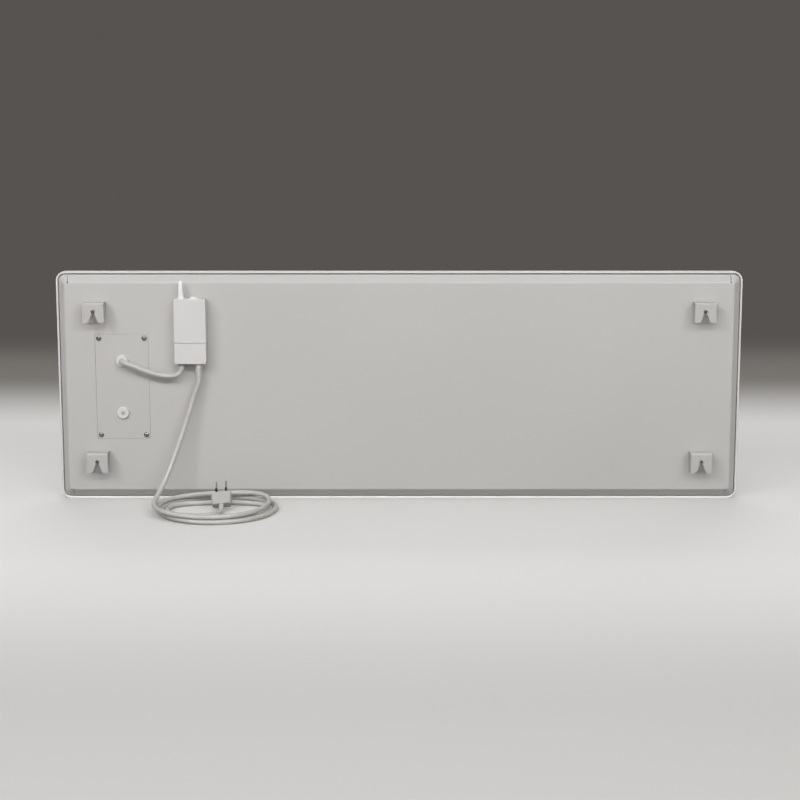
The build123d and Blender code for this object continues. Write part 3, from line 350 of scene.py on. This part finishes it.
def firedCeramic(name):
    material, tree, shader, place = startMaterial(name, "#dcd6c6", 0.62)
    speck = noise(tree, place, ceramic["speckSize"], 1.0)
    tint(tree, shader, remap(tree, speck, 0.0, 1.0, 0.66, 0.74), "#dcd6c6", "#a79f8c")
    relief(tree, shader, [(noise(tree, place, ceramic["grainSize"], 3.0), ceramic["grainDepth"])])
    return material


laminate = {  # glass-epoxy board under green solder mask: glossy, its weave showing through
    "weaveSize": 1.0,
    "weaveShows": 0.35,
    "unevenDepth": 0.01,
}


def circuitLaminate(name):
    material, tree, shader, place = startMaterial(name, "#1c5a34", 0.28, Coat_Weight=0.5)
    scale = perMetre(laminate["weaveSize"])
    weave = addNode(tree, "ShaderNodeTexChecker", {"Vector": place, "Scale": scale}).outputs["Fac"]
    shows = addNode(tree, "ShaderNodeMath", {0: weave, 1: laminate["weaveShows"]}, operation="MULTIPLY")
    tint(tree, shader, shows.outputs[0], "#1c5a34", "#2b7144")
    relief(tree, shader, [(noise(tree, place, laminate["weaveSize"], 1.0), laminate["unevenDepth"])])
    return material


tube = {"hazeSize": 3.0, "haze": (0.03, 0.09), "waveSize": 5.0, "waveDepth": 0.01}  # drawn glass, clear


def fuseGlass(name):
    material, tree, shader, place = startMaterial(
        name, "#e4efe8", 0.05, IOR=1.5, Transmission_Weight=0.9)
    gloss(tree, shader, noise(tree, place, tube["hazeSize"]), *tube["haze"])
    relief(tree, shader, [(noise(tree, place, tube["waveSize"], 1.0), tube["waveDepth"])])
    return material


coatCover = powderCoat("powderCoatCover", "#bdbbb9", "#b9b7b5", 0.30)
coatPlate = powderCoat("powderCoatPlate", "#bcbab8", "#b8b6b4", 0.34)
# the tray's grey tones are painted shade on its rim; its front and its foot are white
coatTray = powderCoat("powderCoatTray", "#d3d1cf", "#cecccb", 0.32, front="#f4f3f1")
coatBracket = powderCoat("powderCoatBracket", "#b9b7b5", "#b4b2b0", 0.20)
absShell = mouldedPlastic("absShellSparkEroded", "#d0cecc", "#cdcbca", 0.36, IOR=1.5)
absAerial = mouldedPlastic("absAerialPolished", "#e6e5e3", "#e0dfdd", 0.34, grain=1.6, depth=0.006,
                           Subsurface_Weight=0.05)
absButton = mouldedPlastic("absButtonPolished", "#ebeae8", "#e4e3e1", 0.22, grain=2.5, depth=0.004,
                           Coat_Weight=0.2)
lensPolycarbonate = mouldedPlastic("polycarbonateLightPipe", "#e4e4e0", "#dadad6", 0.18, grain=2.0,
                                   depth=0.003, Transmission_Weight=0.45, IOR=1.58)
nylonGland = mouldedPlastic("nylonGlandMoulded", "#d2d0cd", "#cccac7", 0.42, grain=1.3, depth=0.008)
nylonStopper = mouldedPlastic("nylonStopperMoulded", "#a9a7a3", "#a19f9b", 0.46, grain=1.3, depth=0.008)
rubberGrommet = mouldedPlastic("rubberGrommetMoulded", "#a8a6a2", "#a09e9a", 0.62, grain=1.1, depth=0.01)
cordSheath = sheathPvc("pvcCordExtruded", "#bebdb9", "#b5b4b0", 0.34)
plugPvc = mouldedPlastic("pvcPlugMoulded", "#b1b0ac", "#abaaa6", 0.48, grain=1.2, depth=0.012)
zincBright = platedMetal("zincPlateBright", "#d0d1d3", "#b4b6ba", 0.16)
zincDull = platedMetal("zincPlateHandled", "#8b8a89", "#747372", 0.14)
nickelBlade = platedMetal("nickelPlatedBrassDrawn", "#a8a5a0", "#96938e", 0.35, along=(1.0, 0.15, 0.15))
copperBar = platedMetal("copperStripRolled", "#c98a5f", "#b5774f", 0.28, along=(0.1, 1.0, 1.0))
blackSleeveNylon = mouldedPlastic("nylonSleeveBlack", "#101010", "#171717", 0.45, grain=0.8)
siliconeBead = mouldedPlastic("siliconeSealantTooled", "#9b9a96", "#93928e", 0.35, grain=3.0, depth=0.05)
phenolicMoulded = mouldedPlastic("phenolicMoulded", "#26201c", "#302924", 0.38, grain=0.8)
leadSilicone = mouldedPlastic("siliconeLeadExtruded", "#7c3a25", "#6d321f", 0.48, grain=1.0)
relayPlastic = mouldedPlastic("polyesterRelayMoulded", "#22406f", "#1d3963", 0.36)
modulePlastic = mouldedPlastic("epoxyPottedModule", "#1b1b1d", "#242427", 0.30)
capacitorSleeve = mouldedPlastic("petSleeveShrunk", "#23252e", "#2d303b", 0.22, grain=2.2)
terminalPlastic = mouldedPlastic("polyamideTerminalMoulded", "#2f6b4a", "#296041", 0.42)
foamDark = cellFoam("foamPadDieCut", "#3a3a3a", "#2c2c2c")
rubberGasket = cellFoam("siliconeSpongeGasket", "#6f6e6a", "#5d5c58")
filmBlack = carbonFilm("carbonFilmPrinted")
micaPressed = micaBoard("micaPressed")
woolPressed = mineralWool("mineralWoolPressed")
foilRolled = rolledFoil("aluminiumFoilRolled")
ceramicFired = firedCeramic("steatiteFired")
boardLaminate = circuitLaminate("glassEpoxyLaminate")
glassDrawn = fuseGlass("sodaGlassDrawn")
print("materials made:", len(bpy.data.materials))

nodeMaterials = {
    "front_panel": coatTray, "rear_cover": coatCover, "service_plate": coatPlate,
    "bracket_top_left": coatBracket, "bracket_top_right": coatBracket,
    "bracket_bottom_left": coatBracket, "bracket_bottom_right": coatBracket,
    "service_screws": zincBright, "bracket_rivets": zincBright, "service_frame": zincBright,
    "service_nuts": zincBright, "service_gasket": rubberGasket, "earth_stud": zincBright,
    "cable_gland": nylonGland, "spare_gland": nylonGland, "gland_nuts": nylonGland,
    "blanking_plug": nylonStopper, "heating_film": filmBlack, "bus_bars": copperBar,
    "mica_sheet": micaPressed, "insulation_board": woolPressed, "reflective_foil": foilRolled,
    "spacer_pads": foamDark, "perimeter_sealant": siliconeBead, "terminal_pad": foamDark,
    "terminal_block": ceramicFired, "terminal_screws": zincBright, "thermal_cutout": phenolicMoulded,
    "receiver_pad": foamDark, "receiver_base": absShell, "receiver_cover": absShell,
    "receiver_terminal_cover": absShell, "receiver_antenna": absAerial, "receiver_button": absButton,
    "button_ring": absButton, "led_lens": lensPolycarbonate, "circuit_board": boardLaminate,
    "receiver_screws": zincBright, "tact_switch": phenolicMoulded, "power_relay": relayPlastic,
    "power_module": modulePlastic, "capacitor": capacitorSleeve, "fuse": glassDrawn,
    "receiver_terminals": terminalPlastic, "receiver_terminal_screws": zincBright,
    "receiver_cord_clamp": absShell, "link_grommet": rubberGrommet, "mains_strain_relief": cordSheath,
    "fixed_cord_ends": cordSheath, "plug_body": plugPvc, "plug_blades": nickelBlade,
    "blade_sleeves": blackSleeveNylon, "lead_to_limiter": leadSilicone,
    "lead_to_upper_bar": leadSilicone, "lead_to_lower_bar": leadSilicone, "lead_to_earth": leadSilicone,
    "link_cord": cordSheath, "mains_cord": cordSheath, "mains_cord_coil": cordSheath,
}
for nodeName, nodeMaterial in nodeMaterials.items():
    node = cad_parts[nodeName]
    node.data.materials.clear()
    node.data.materials.append(nodeMaterial)
print("node finishes set:", len(nodeMaterials), "of", len(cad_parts))

# cords
cordSize = {  # the middle of a strand on the floor is at 3.3
    "diameter": 6.5,
    "roundness": 7,  # bevel resolution
    "stepsPerPoint": 10,
}

linkCord = {  # from the upper gland, sagging beside the service plate, up into the receiver
    "length": 0.101,
    "route": [
        (-366.5, -4.5, 187.7), (-366.5, -8.4, 187.7), (-363.2, -14.1, 187.3), (-357.0, -17.3, 185.5),
        (-346.0, -16.8, 181.2), (-333.0, -15.7, 175.6), (-319.0, -15.0, 171.2), (-306.0, -14.4, 169.0),
        (-295.5, -13.4, 169.4), (-289.5, -12.7, 172.9), (-286.0, -12.5, 178.9), (-286.0, -12.5, 183.6)],
}

mainsCord = {  # from the receiver down to three loose turns on the floor, and round to the plug
    "length": 1.576,
    "drop": [
        (-264.0, -12.5, 165.6), (-264.6, -12.5, 158.0), (-270.4, -13.2, 145.0), (-275.5, -15.0, 127.0),
        (-283.5, -19.0, 102.0), (-292.0, -25.0, 76.5), (-300.6, -32.5, 52.0), (-309.2, -42.0, 31.5),
        (-314.6, -54.0, 21.2), (-315.9, -70.0, 16.0)],
    # the furthest points to the left, the front, the right and the rear, the first turn's first
    "left": [(-315.5, -88.0, 14.6), (-312.8, -80.0, 9.2), (-308.4, -77.0, 3.3), (-301.4, -74.0, 3.3)],
    "front": [(-240.0, -147.2, 10.1), (-238.0, -147.3, 3.3), (-238.0, -139.9, 3.3)],
    "right": [(-170.0, -68.0, 11.4), (-160.8, -66.0, 3.3), (-168.2, -71.0, 3.3)],
    "rear": [(-207.0, -12.6, 11.8), (-228.0, -2.6, 3.6), (-234.0, -35.6, 3.3)],
    "pointsPerQuarter": 4,
    "outset": 1.019,  # the points stand out this much, because the spline runs inside them
    "fullness": 0.55,  # 0.55 is a plain ellipse, and more is a squarer turn
    "shortSideGain": 0.55,  # a flat turn is fuller at its ends, and a little on its long sides
    "longSideGain": 0.10,
    "tailFront": (-264.0, -109.6, 3.3),
    "tailEnd": [(-252.9, -109.6, 3.3), (-242.6, -105.3, 3.3), (-234.8, -97.5, 3.3), (-230.5, -87.2, 3.5),
                (-230.5, -80.6, 5.7), (-230.56, -76.26, 10.04)],
}


def quarterTurn(start, end, alongX, cord):  # a quarter of a loose turn, whose end is the next one's start
    meet = (end[0], start[1]) if alongX else (start[0], end[1])  # where the tangents at its ends cross
    centre = (start[0], end[1]) if alongX else (end[0], start[1])
    sides = [math.dist(place[:2], meet) for place in (start, end)]
    flatness = 1.0 - min(sides) / max(sides)
    handles = []
    for place, side in zip((start, end), sides):
        gain = cord["shortSideGain" if side == min(sides) else "longSideGain"]
        share = cord["fullness"] + flatness * gain
        handles.append([p + share * (m - p) for p, m in zip(place, meet)])
    points = []
    for step in range(cord["pointsPerQuarter"]):
        t = step / cord["pointsPerQuarter"]
        weights = ((1 - t) ** 3, 3 * t * (1 - t) ** 2, 3 * t * t * (1 - t), t ** 3)
        flat = [sum(w * p[axis] for w, p in zip(weights, (start, *handles, end))) for axis in (0, 1)]
        climb = t * t * (3 - 2 * t)
        points.append((*(c + cord["outset"] * (f - c) for f, c in zip(flat, centre)),
                       start[2] * (1 - climb) + end[2] * climb))
    return points


def coilPoints(cord):
    stations = []
    for front, right, rear, left in zip(cord["front"], cord["right"], cord["rear"], cord["left"]):
        stations += [left, front, right, rear]
    stations += [cord["left"][-1], cord["tailFront"]]
    points = []
    for index, (start, end) in enumerate(zip(stations, stations[1:])):
        points += quarterTurn(start, end, index % 2 == 1, cord)
    return points + [cord["tailFront"]]


def smoothCord(name, points, material):
    curve = bpy.data.curves.new(name, "CURVE")
    curve.dimensions = "3D"
    spline = curve.splines.new("NURBS")
    spline.points.add(len(points) - 1)
    for knot, point in zip(spline.points, points):
        knot.co = (*metres(point), 1.0)
    spline.order_u = 3
    spline.use_endpoint_u = True
    spline.resolution_u = cordSize["stepsPerPoint"]
    curve.bevel_depth = cordSize["diameter"] / 2000.0
    curve.bevel_resolution = cordSize["roundness"]
    curve.use_fill_caps = True
    curve.materials.append(material)
    return newObject(name, curve)


linkLead = smoothCord("linkLead", linkCord["route"], cordSheath)
mainsPoints = mainsCord["drop"] + coilPoints(mainsCord) + mainsCord["tailEnd"]
mainsLead = smoothCord("mainsLead", mainsPoints, cordSheath)
print("cords laid:", len(linkCord["route"]), "and", len(mainsPoints), "points")

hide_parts("link_cord")
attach(linkLead, "panel")
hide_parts("mains_cord", "mains_cord_coil")
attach(mainsLead, "panel")

# fasteners, by Geometry Nodes
plateScrew = {  # pan-head machine screws, M4, with a cross recess
    "places": [(x, -1.0, z) for x in (-396.5, -336.5) for z in (88.15, 217.65)],
    "inputs": {"Head Radius": 3.5, "Head Height": 2.0, "Dome": 1.05, "Shank Radius": 1.9,
               "Shank Length": 6.5, "Recess Span": 4.6, "Recess Width": 1.35, "Recess Depth": 1.7},
    "spin": 0.8,
    "seed": 4,
    "finish": zincDull,
}
blindRivet = {  # blind rivets, 3.2 mm, two through each bracket's foot
    "places": [(x + side, -2.5, z) for x in (-400.0, 400.0) for z in (50.5, 250.5) for side in (-7.0, 7.0)],
    "inputs": {"Head Radius": 3.2, "Head Height": 1.2, "Dome": 0.75, "Shank Radius": 1.6,
               "Shank Length": 3.4, "Recess Span": 1.9, "Recess Width": 1.9, "Recess Depth": 0.8},
    "spin": 3.1,
    "seed": 9,
    "finish": zincBright,
}
fastenerMesh = {
    "headSides": 40, "headRings": 7, "headLayers": 3, "shankSides": 24, "pitSides": 20,
    "domeCurve": 2.6,
    "domeFrom": 0.2,  # above the head's middle
    "overlap": 0.01,  # the share of the shank that is inside the head
}


def fastenerTree(name, fastener, crossed):
    tree = bpy.data.node_groups.new(name, "GeometryNodeTree")
    tree.interface.new_socket("Geometry", in_out="INPUT", socket_type="NodeSocketGeometry")
    sockets = {}
    for label in (*fastener["inputs"], "Spin", "Seed"):
        kind = "NodeSocketInt" if label == "Seed" else "NodeSocketFloat"
        sockets[label] = tree.interface.new_socket(label, in_out="INPUT", socket_type=kind).identifier
    tree.interface.new_socket("Geometry", in_out="OUTPUT", socket_type="NodeSocketGeometry")
    given = addNode(tree, "NodeGroupInput").outputs

    def maths(operation, first, second):
        return addNode(tree, "ShaderNodeMath", {0: first, 1: second}, operation=operation).outputs[0]

    def vector(x, y, z):
        return addNode(tree, "ShaderNodeCombineXYZ", {"X": x, "Y": y, "Z": z}).outputs[0]

    def moved(mesh, offset):
        shift = addNode(tree, "GeometryNodeTransform", {"Geometry": mesh, "Translation": offset})
        return shift.outputs[0]

    head = addNode(tree, "GeometryNodeMeshCylinder", {
        "Vertices": fastenerMesh["headSides"], "Side Segments": fastenerMesh["headLayers"],
        "Fill Segments": fastenerMesh["headRings"],
        "Radius": given["Head Radius"], "Depth": given["Head Height"]}).outputs["Mesh"]
    position = addNode(tree, "GeometryNodeInputPosition").outputs[0]
    place = addNode(tree, "ShaderNodeSeparateXYZ", {"Vector": position}).outputs
    across = addNode(tree, "ShaderNodeVectorMath", {0: vector(place["X"], place["Y"], 0.0)},
                     operation="LENGTH").outputs["Value"]
    share = maths("POWER", maths("DIVIDE", across, given["Head Radius"]), fastenerMesh["domeCurve"])
    drop = maths("MULTIPLY", maths("MULTIPLY", share, given["Dome"]), -1.0)
    upper = addNode(tree, "FunctionNodeCompare", {0: place["Z"], 1: fastenerMesh["domeFrom"] / 1000.0},
                    data_type="FLOAT", operation="GREATER_THAN").outputs[0]
    head = addNode(tree, "GeometryNodeSetPosition", {
        "Geometry": head, "Selection": upper, "Offset": vector(0.0, 0.0, drop)}).outputs[0]
    head = moved(head, vector(0.0, 0.0, maths("MULTIPLY", given["Head Height"], 0.5)))
    shank = addNode(tree, "GeometryNodeMeshCylinder", {
        "Vertices": fastenerMesh["shankSides"], "Radius": given["Shank Radius"],
        "Depth": given["Shank Length"]}).outputs["Mesh"]
    sunk = maths("MULTIPLY", given["Shank Length"], fastenerMesh["overlap"] - 0.5)
    shank = moved(shank, vector(0.0, 0.0, sunk))
    depth = maths("MULTIPLY", given["Recess Depth"], 2.0)
    if crossed:  # two bars make the driver's cross
        bars = [vector(given["Recess Span"], given["Recess Width"], depth),
                vector(given["Recess Width"], given["Recess Span"], depth)]
        cutters = [addNode(tree, "GeometryNodeMeshCube", {"Size": bar}).outputs["Mesh"] for bar in bars]
    else:  # the pit that the mandrel leaves
        pit = {"Vertices": fastenerMesh["pitSides"], "Depth": depth,
               "Radius": maths("MULTIPLY", given["Recess Span"], 0.5)}
        cutters = [addNode(tree, "GeometryNodeMeshCylinder", pit).outputs["Mesh"]]
    whole = addNode(tree, "GeometryNodeMeshBoolean", operation="UNION", solver="EXACT")
    for part in (head, shank):
        tree.links.new(part, whole.inputs["Mesh 2"])
    cut = addNode(tree, "GeometryNodeMeshBoolean", {"Mesh 1": whole.outputs["Mesh"]},
                  operation="DIFFERENCE", solver="EXACT")
    for cutter in cutters:
        tree.links.new(moved(cutter, vector(0.0, 0.0, given["Head Height"])), cut.inputs["Mesh 2"])
    low = vector(math.pi / 2, maths("MULTIPLY", given["Spin"], -1.0), 0.0)
    high = vector(math.pi / 2, given["Spin"], 0.0)
    turn = addNode(tree, "FunctionNodeRandomValue", {"Min": low, "Max": high, "Seed": given["Seed"]},
                   data_type="FLOAT_VECTOR").outputs[0]
    turn = addNode(tree, "FunctionNodeEulerToRotation", {"Euler": turn}).outputs[0]
    spread = addNode(tree, "GeometryNodeInstanceOnPoints", {
        "Points": given["Geometry"], "Instance": cut.outputs["Mesh"], "Rotation": turn}).outputs[0]
    real = addNode(tree, "GeometryNodeRealizeInstances", {"Geometry": spread}).outputs[0]
    done = addNode(tree, "GeometryNodeSetMaterial", {"Geometry": real, "Material": fastener["finish"]})
    addNode(tree, "NodeGroupOutput", {"Geometry": done.outputs[0]})
    return tree, sockets


def growFromNodes(name, base, tree, values):  # values go by the sockets' identifiers
    maker = newObject(name + "Maker", base)
    modifier = maker.modifiers.new("grow", "NODES")
    modifier.node_group = tree
    for identifier, value in values.items():
        modifier[identifier] = value
    bpy.context.view_layer.update()
    mesh = bpy.data.meshes.new_from_object(maker.evaluated_get(bpy.context.evaluated_depsgraph_get()))
    mesh.name = name
    bpy.data.objects.remove(maker)
    smoothShade(mesh)
    return newObject(name, mesh)


def setFasteners(name, fastener, crossed):
    tree, sockets = fastenerTree(name + "Tree", fastener, crossed)
    places = bpy.data.meshes.new(name + "Places")
    places.from_pydata([metres(p) for p in fastener["places"]], [], [])
    values = {sockets[label]: size / 1000.0 for label, size in fastener["inputs"].items()}
    values[sockets["Spin"]] = fastener["spin"]
    values[sockets["Seed"]] = fastener["seed"]
    return growFromNodes(name, places, tree, values)


plateScrews = setFasteners("plateScrews", plateScrew, True)
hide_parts("service_screws")
blindRivets = setFasteners("blindRivets", blindRivet, False)
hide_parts("bracket_rivets")
for fastening in (plateScrews, blindRivets):
    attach(fastening, "panel")
    print(fastening.name, "made with", len(fastening.data.polygons), "faces")

# bend relief under the receiver
bendRelief = {  # moulded on the sheath: a taper with five soft ribs
    "axis": (-264.0, -12.5), "topHeight": 185.6, "length": 20.0,
    "topRadius": 4.9, "tipRadius": 3.9, "boreRadius": 3.25,
    "ribs": 5, "ribDepth": 0.45, "ribsFrom": 0.12, "ribsTo": 0.94,  # shares of its length
    "tipInset": 0.3, "tipRound": 0.35, "boreLip": 0.05,
    "around": 40, "stations": 61,
}


def ribbedSleeve(relief):
    profile = []
    for step in range(relief["stations"]):
        share = step / (relief["stations"] - 1)
        radius = relief["topRadius"] + share * (relief["tipRadius"] - relief["topRadius"])
        if relief["ribsFrom"] < share < relief["ribsTo"]:
            along = (share - relief["ribsFrom"]) / (relief["ribsTo"] - relief["ribsFrom"])
            wave = math.cos(2 * math.pi * relief["ribs"] * along)
            radius -= relief["ribDepth"] * (0.5 - 0.5 * wave) ** 2
        profile.append((radius, relief["topHeight"] - share * relief["length"]))
    tipRadius, tipHeight = profile.pop()
    profile += [(tipRadius, tipHeight + relief["tipRound"]), (tipRadius - relief["tipInset"], tipHeight),
                (relief["boreRadius"], tipHeight + relief["boreLip"]),
                (relief["boreRadius"], relief["topHeight"])]
    built = bmesh.new()
    rings = []
    x, y = relief["axis"]
    turns = [2 * math.pi * k / relief["around"] for k in range(relief["around"])]
    for radius, height in profile:
        rings.append([built.verts.new(metres((x + radius * math.cos(a), y + radius * math.sin(a), height)))
                      for a in turns])
    for lower, upper in zip(rings, rings[1:] + rings[:1]):
        for k in range(relief["around"]):
            after = (k + 1) % relief["around"]
            built.faces.new((lower[k], lower[after], upper[after], upper[k]))
    bmesh.ops.recalc_face_normals(built, faces=built.faces)
    mesh = bpy.data.meshes.new("bendReliefSleeve")
    built.to_mesh(mesh)
    built.free()
    mesh.materials.append(cordSheath)
    smoothShade(mesh, 40.0)
    return newObject("bendReliefSleeve", mesh)


reliefSleeve = ribbedSleeve(bendRelief)
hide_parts("mains_strain_relief")
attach(reliefSleeve, "panel")
print("bend relief made")

# floor, backdrop and light
studio = {
    "tones": [  # the paper by how far back it is, in metres from the panel: lit near it, then in shade
        (-0.85, "#bfbdbb"), (-0.25, "#e6e4e2"), (0.1, "#dad8d6"), (0.5, "#d4d2d0"), (1.1, "#777470"),
        (1.7, "#565350")],
    "glow": 0.15,         # share of plain tone on the floor, seen by the camera and in reflections only
    "bounce": "#807d79",  # the paper's colour for light that bounces off it
    "roughness": 0.9,
    "shine": 0.2,
    "coveStart": 1.5,
    "coveRadius": 1.2,
    "coveSteps": 24,
    "wallHeight": 4.0,
    "halfWidth": 7.0,
    "nearEdge": -4.5,
    "air": "#e6e6e8",
    "airStrength": 0.14,
}


def paperSweep():  # one sheet of paper: floor, a wide curve and the wall
    # the rows near the object keep the floor's shading flat there
    rows = [(studio["nearEdge"], 0.0), (-0.5, 0.0), (0.0, 0.0), (studio["coveStart"], 0.0)]
    for step in range(1, studio["coveSteps"] + 1):
        angle = math.pi / 2 * step / studio["coveSteps"]
        rows.append((studio["coveStart"] + studio["coveRadius"] * math.sin(angle),
                     studio["coveRadius"] * (1.0 - math.cos(angle))))
    rows.append((rows[-1][0], studio["wallHeight"]))
    built = bmesh.new()
    left, right = [[built.verts.new((x, y, z)) for y, z in rows]
                   for x in (-studio["halfWidth"], studio["halfWidth"])]
    for i in range(len(rows) - 1):
        built.faces.new((left[i], right[i], right[i + 1], left[i + 1]))
    mesh = bpy.data.meshes.new("paperSweep")
    built.to_mesh(mesh)
    built.free()
    mesh.shade_smooth()
    mesh.materials.append(paperMatt())
    return newObject("paperSweep", mesh)


def paperMatt():
    material, tree, shader, place = startMaterial(
        "paperSweepMatt", studio["tones"][0][1], studio["roughness"], Specular_IOR_Level=studio["shine"])
    axes = addNode(tree, "ShaderNodeSeparateXYZ", {"Vector": place}).outputs
    back = addNode(tree, "ShaderNodeMath", {0: axes["Y"], 1: axes["Z"]}, operation="ADD").outputs[0]
    nearest, furthest = studio["tones"][0][0], studio["tones"][-1][0]
    ramp = addNode(tree, "ShaderNodeValToRGB", {"Fac": remap(tree, back, 0.0, 1.0, nearest, furthest)})
    ramp.color_ramp.interpolation = "EASE"
    while len(ramp.color_ramp.elements) < len(studio["tones"]):
        ramp.color_ramp.elements.new(0.5)
    for stop, (distance, tone) in zip(ramp.color_ramp.elements, studio["tones"]):
        stop.position = (distance - nearest) / (furthest - nearest)
        stop.color = linear(tone)
    tree.links.new(ramp.outputs["Color"], shader.inputs["Base Color"])
    rays = addNode(tree, "ShaderNodeLightPath").outputs
    seen = rays["Is Camera Ray"]
    for ray in ("Is Glossy Ray", "Is Transmission Ray"):
        seen = addNode(tree, "ShaderNodeMath", {0: seen, 1: rays[ray]}, operation="MAXIMUM").outputs[0]
    plain = remap(tree, back, studio["glow"], 1.0, 0.0, 1.0)  # all of it from a metre back
    share = addNode(tree, "ShaderNodeMath", {0: seen, 1: plain}, operation="MULTIPLY").outputs[0]
    glow = addNode(tree, "ShaderNodeEmission", {"Color": ramp.outputs["Color"], "Strength": 1.0}).outputs[0]
    dark = addNode(tree, "ShaderNodeBsdfDiffuse", {"Color": linear(studio["bounce"])}).outputs[0]
    lit = addNode(tree, "ShaderNodeMixShader", {0: seen, 1: dark, 2: shader.outputs[0]}).outputs[0]
    mixed = addNode(tree, "ShaderNodeMixShader", {0: share, 1: lit, 2: glow}).outputs[0]
    output = next(n for n in tree.nodes if n.bl_idname == "ShaderNodeOutputMaterial")
    tree.links.new(mixed, output.inputs["Surface"])
    return material


paperSweep()

lamps = {  # places, aims and sizes in metres, power in watts
    "soft": {"place": (0.0, -3.0, 1.6), "aim": (0.0, 0.0, 0.15), "size": (6.0, 2.4), "power": 66.0},
    "strip": {"place": (0.0, -2.8, 2.0), "aim": (0.0, 0.0, 0.15), "size": (4.6, 0.2), "power": 66.0},
    "left": {"place": (-2.4, -2.6, 2.6), "aim": (-0.2, 0.0, 0.15), "size": (0.4, 0.4), "power": 24.0},
    "right": {"place": (2.4, -2.6, 2.6), "aim": (0.2, 0.0, 0.15), "size": (0.5, 0.5), "power": 3.0},
    "top": {"place": (0.0, -0.6, 2.4), "aim": (0.0, -0.1, 0.15), "size": (2.4, 0.8), "power": 5.0},
    "rear": {"place": (0.0, 2.1, 1.7), "aim": (0.0, 0.0, 0.1), "size": (3.0, 1.4), "power": 40.0},
}


def hangLamp(name, lamp):
    data = bpy.data.lights.new(name, "AREA")
    data.shape = "RECTANGLE"
    data.size, data.size_y = lamp["size"]
    data.energy = lamp["power"]
    light = newObject(name, data)
    light.location = lamp["place"]
    away = Vector(lamp["aim"]) - Vector(lamp["place"])
    light.rotation_euler = away.to_track_quat("-Z", "Y").to_euler()


for lampName, lamp in lamps.items():
    hangLamp(lampName + "Lamp", lamp)

world = bpy.data.worlds.new("studioAir")
scene.world = world
world.use_nodes = True
air = world.node_tree.nodes["Background"].inputs
air["Color"].default_value = linear(studio["air"])
air["Strength"].default_value = studio["airStrength"]
print("studio lit")
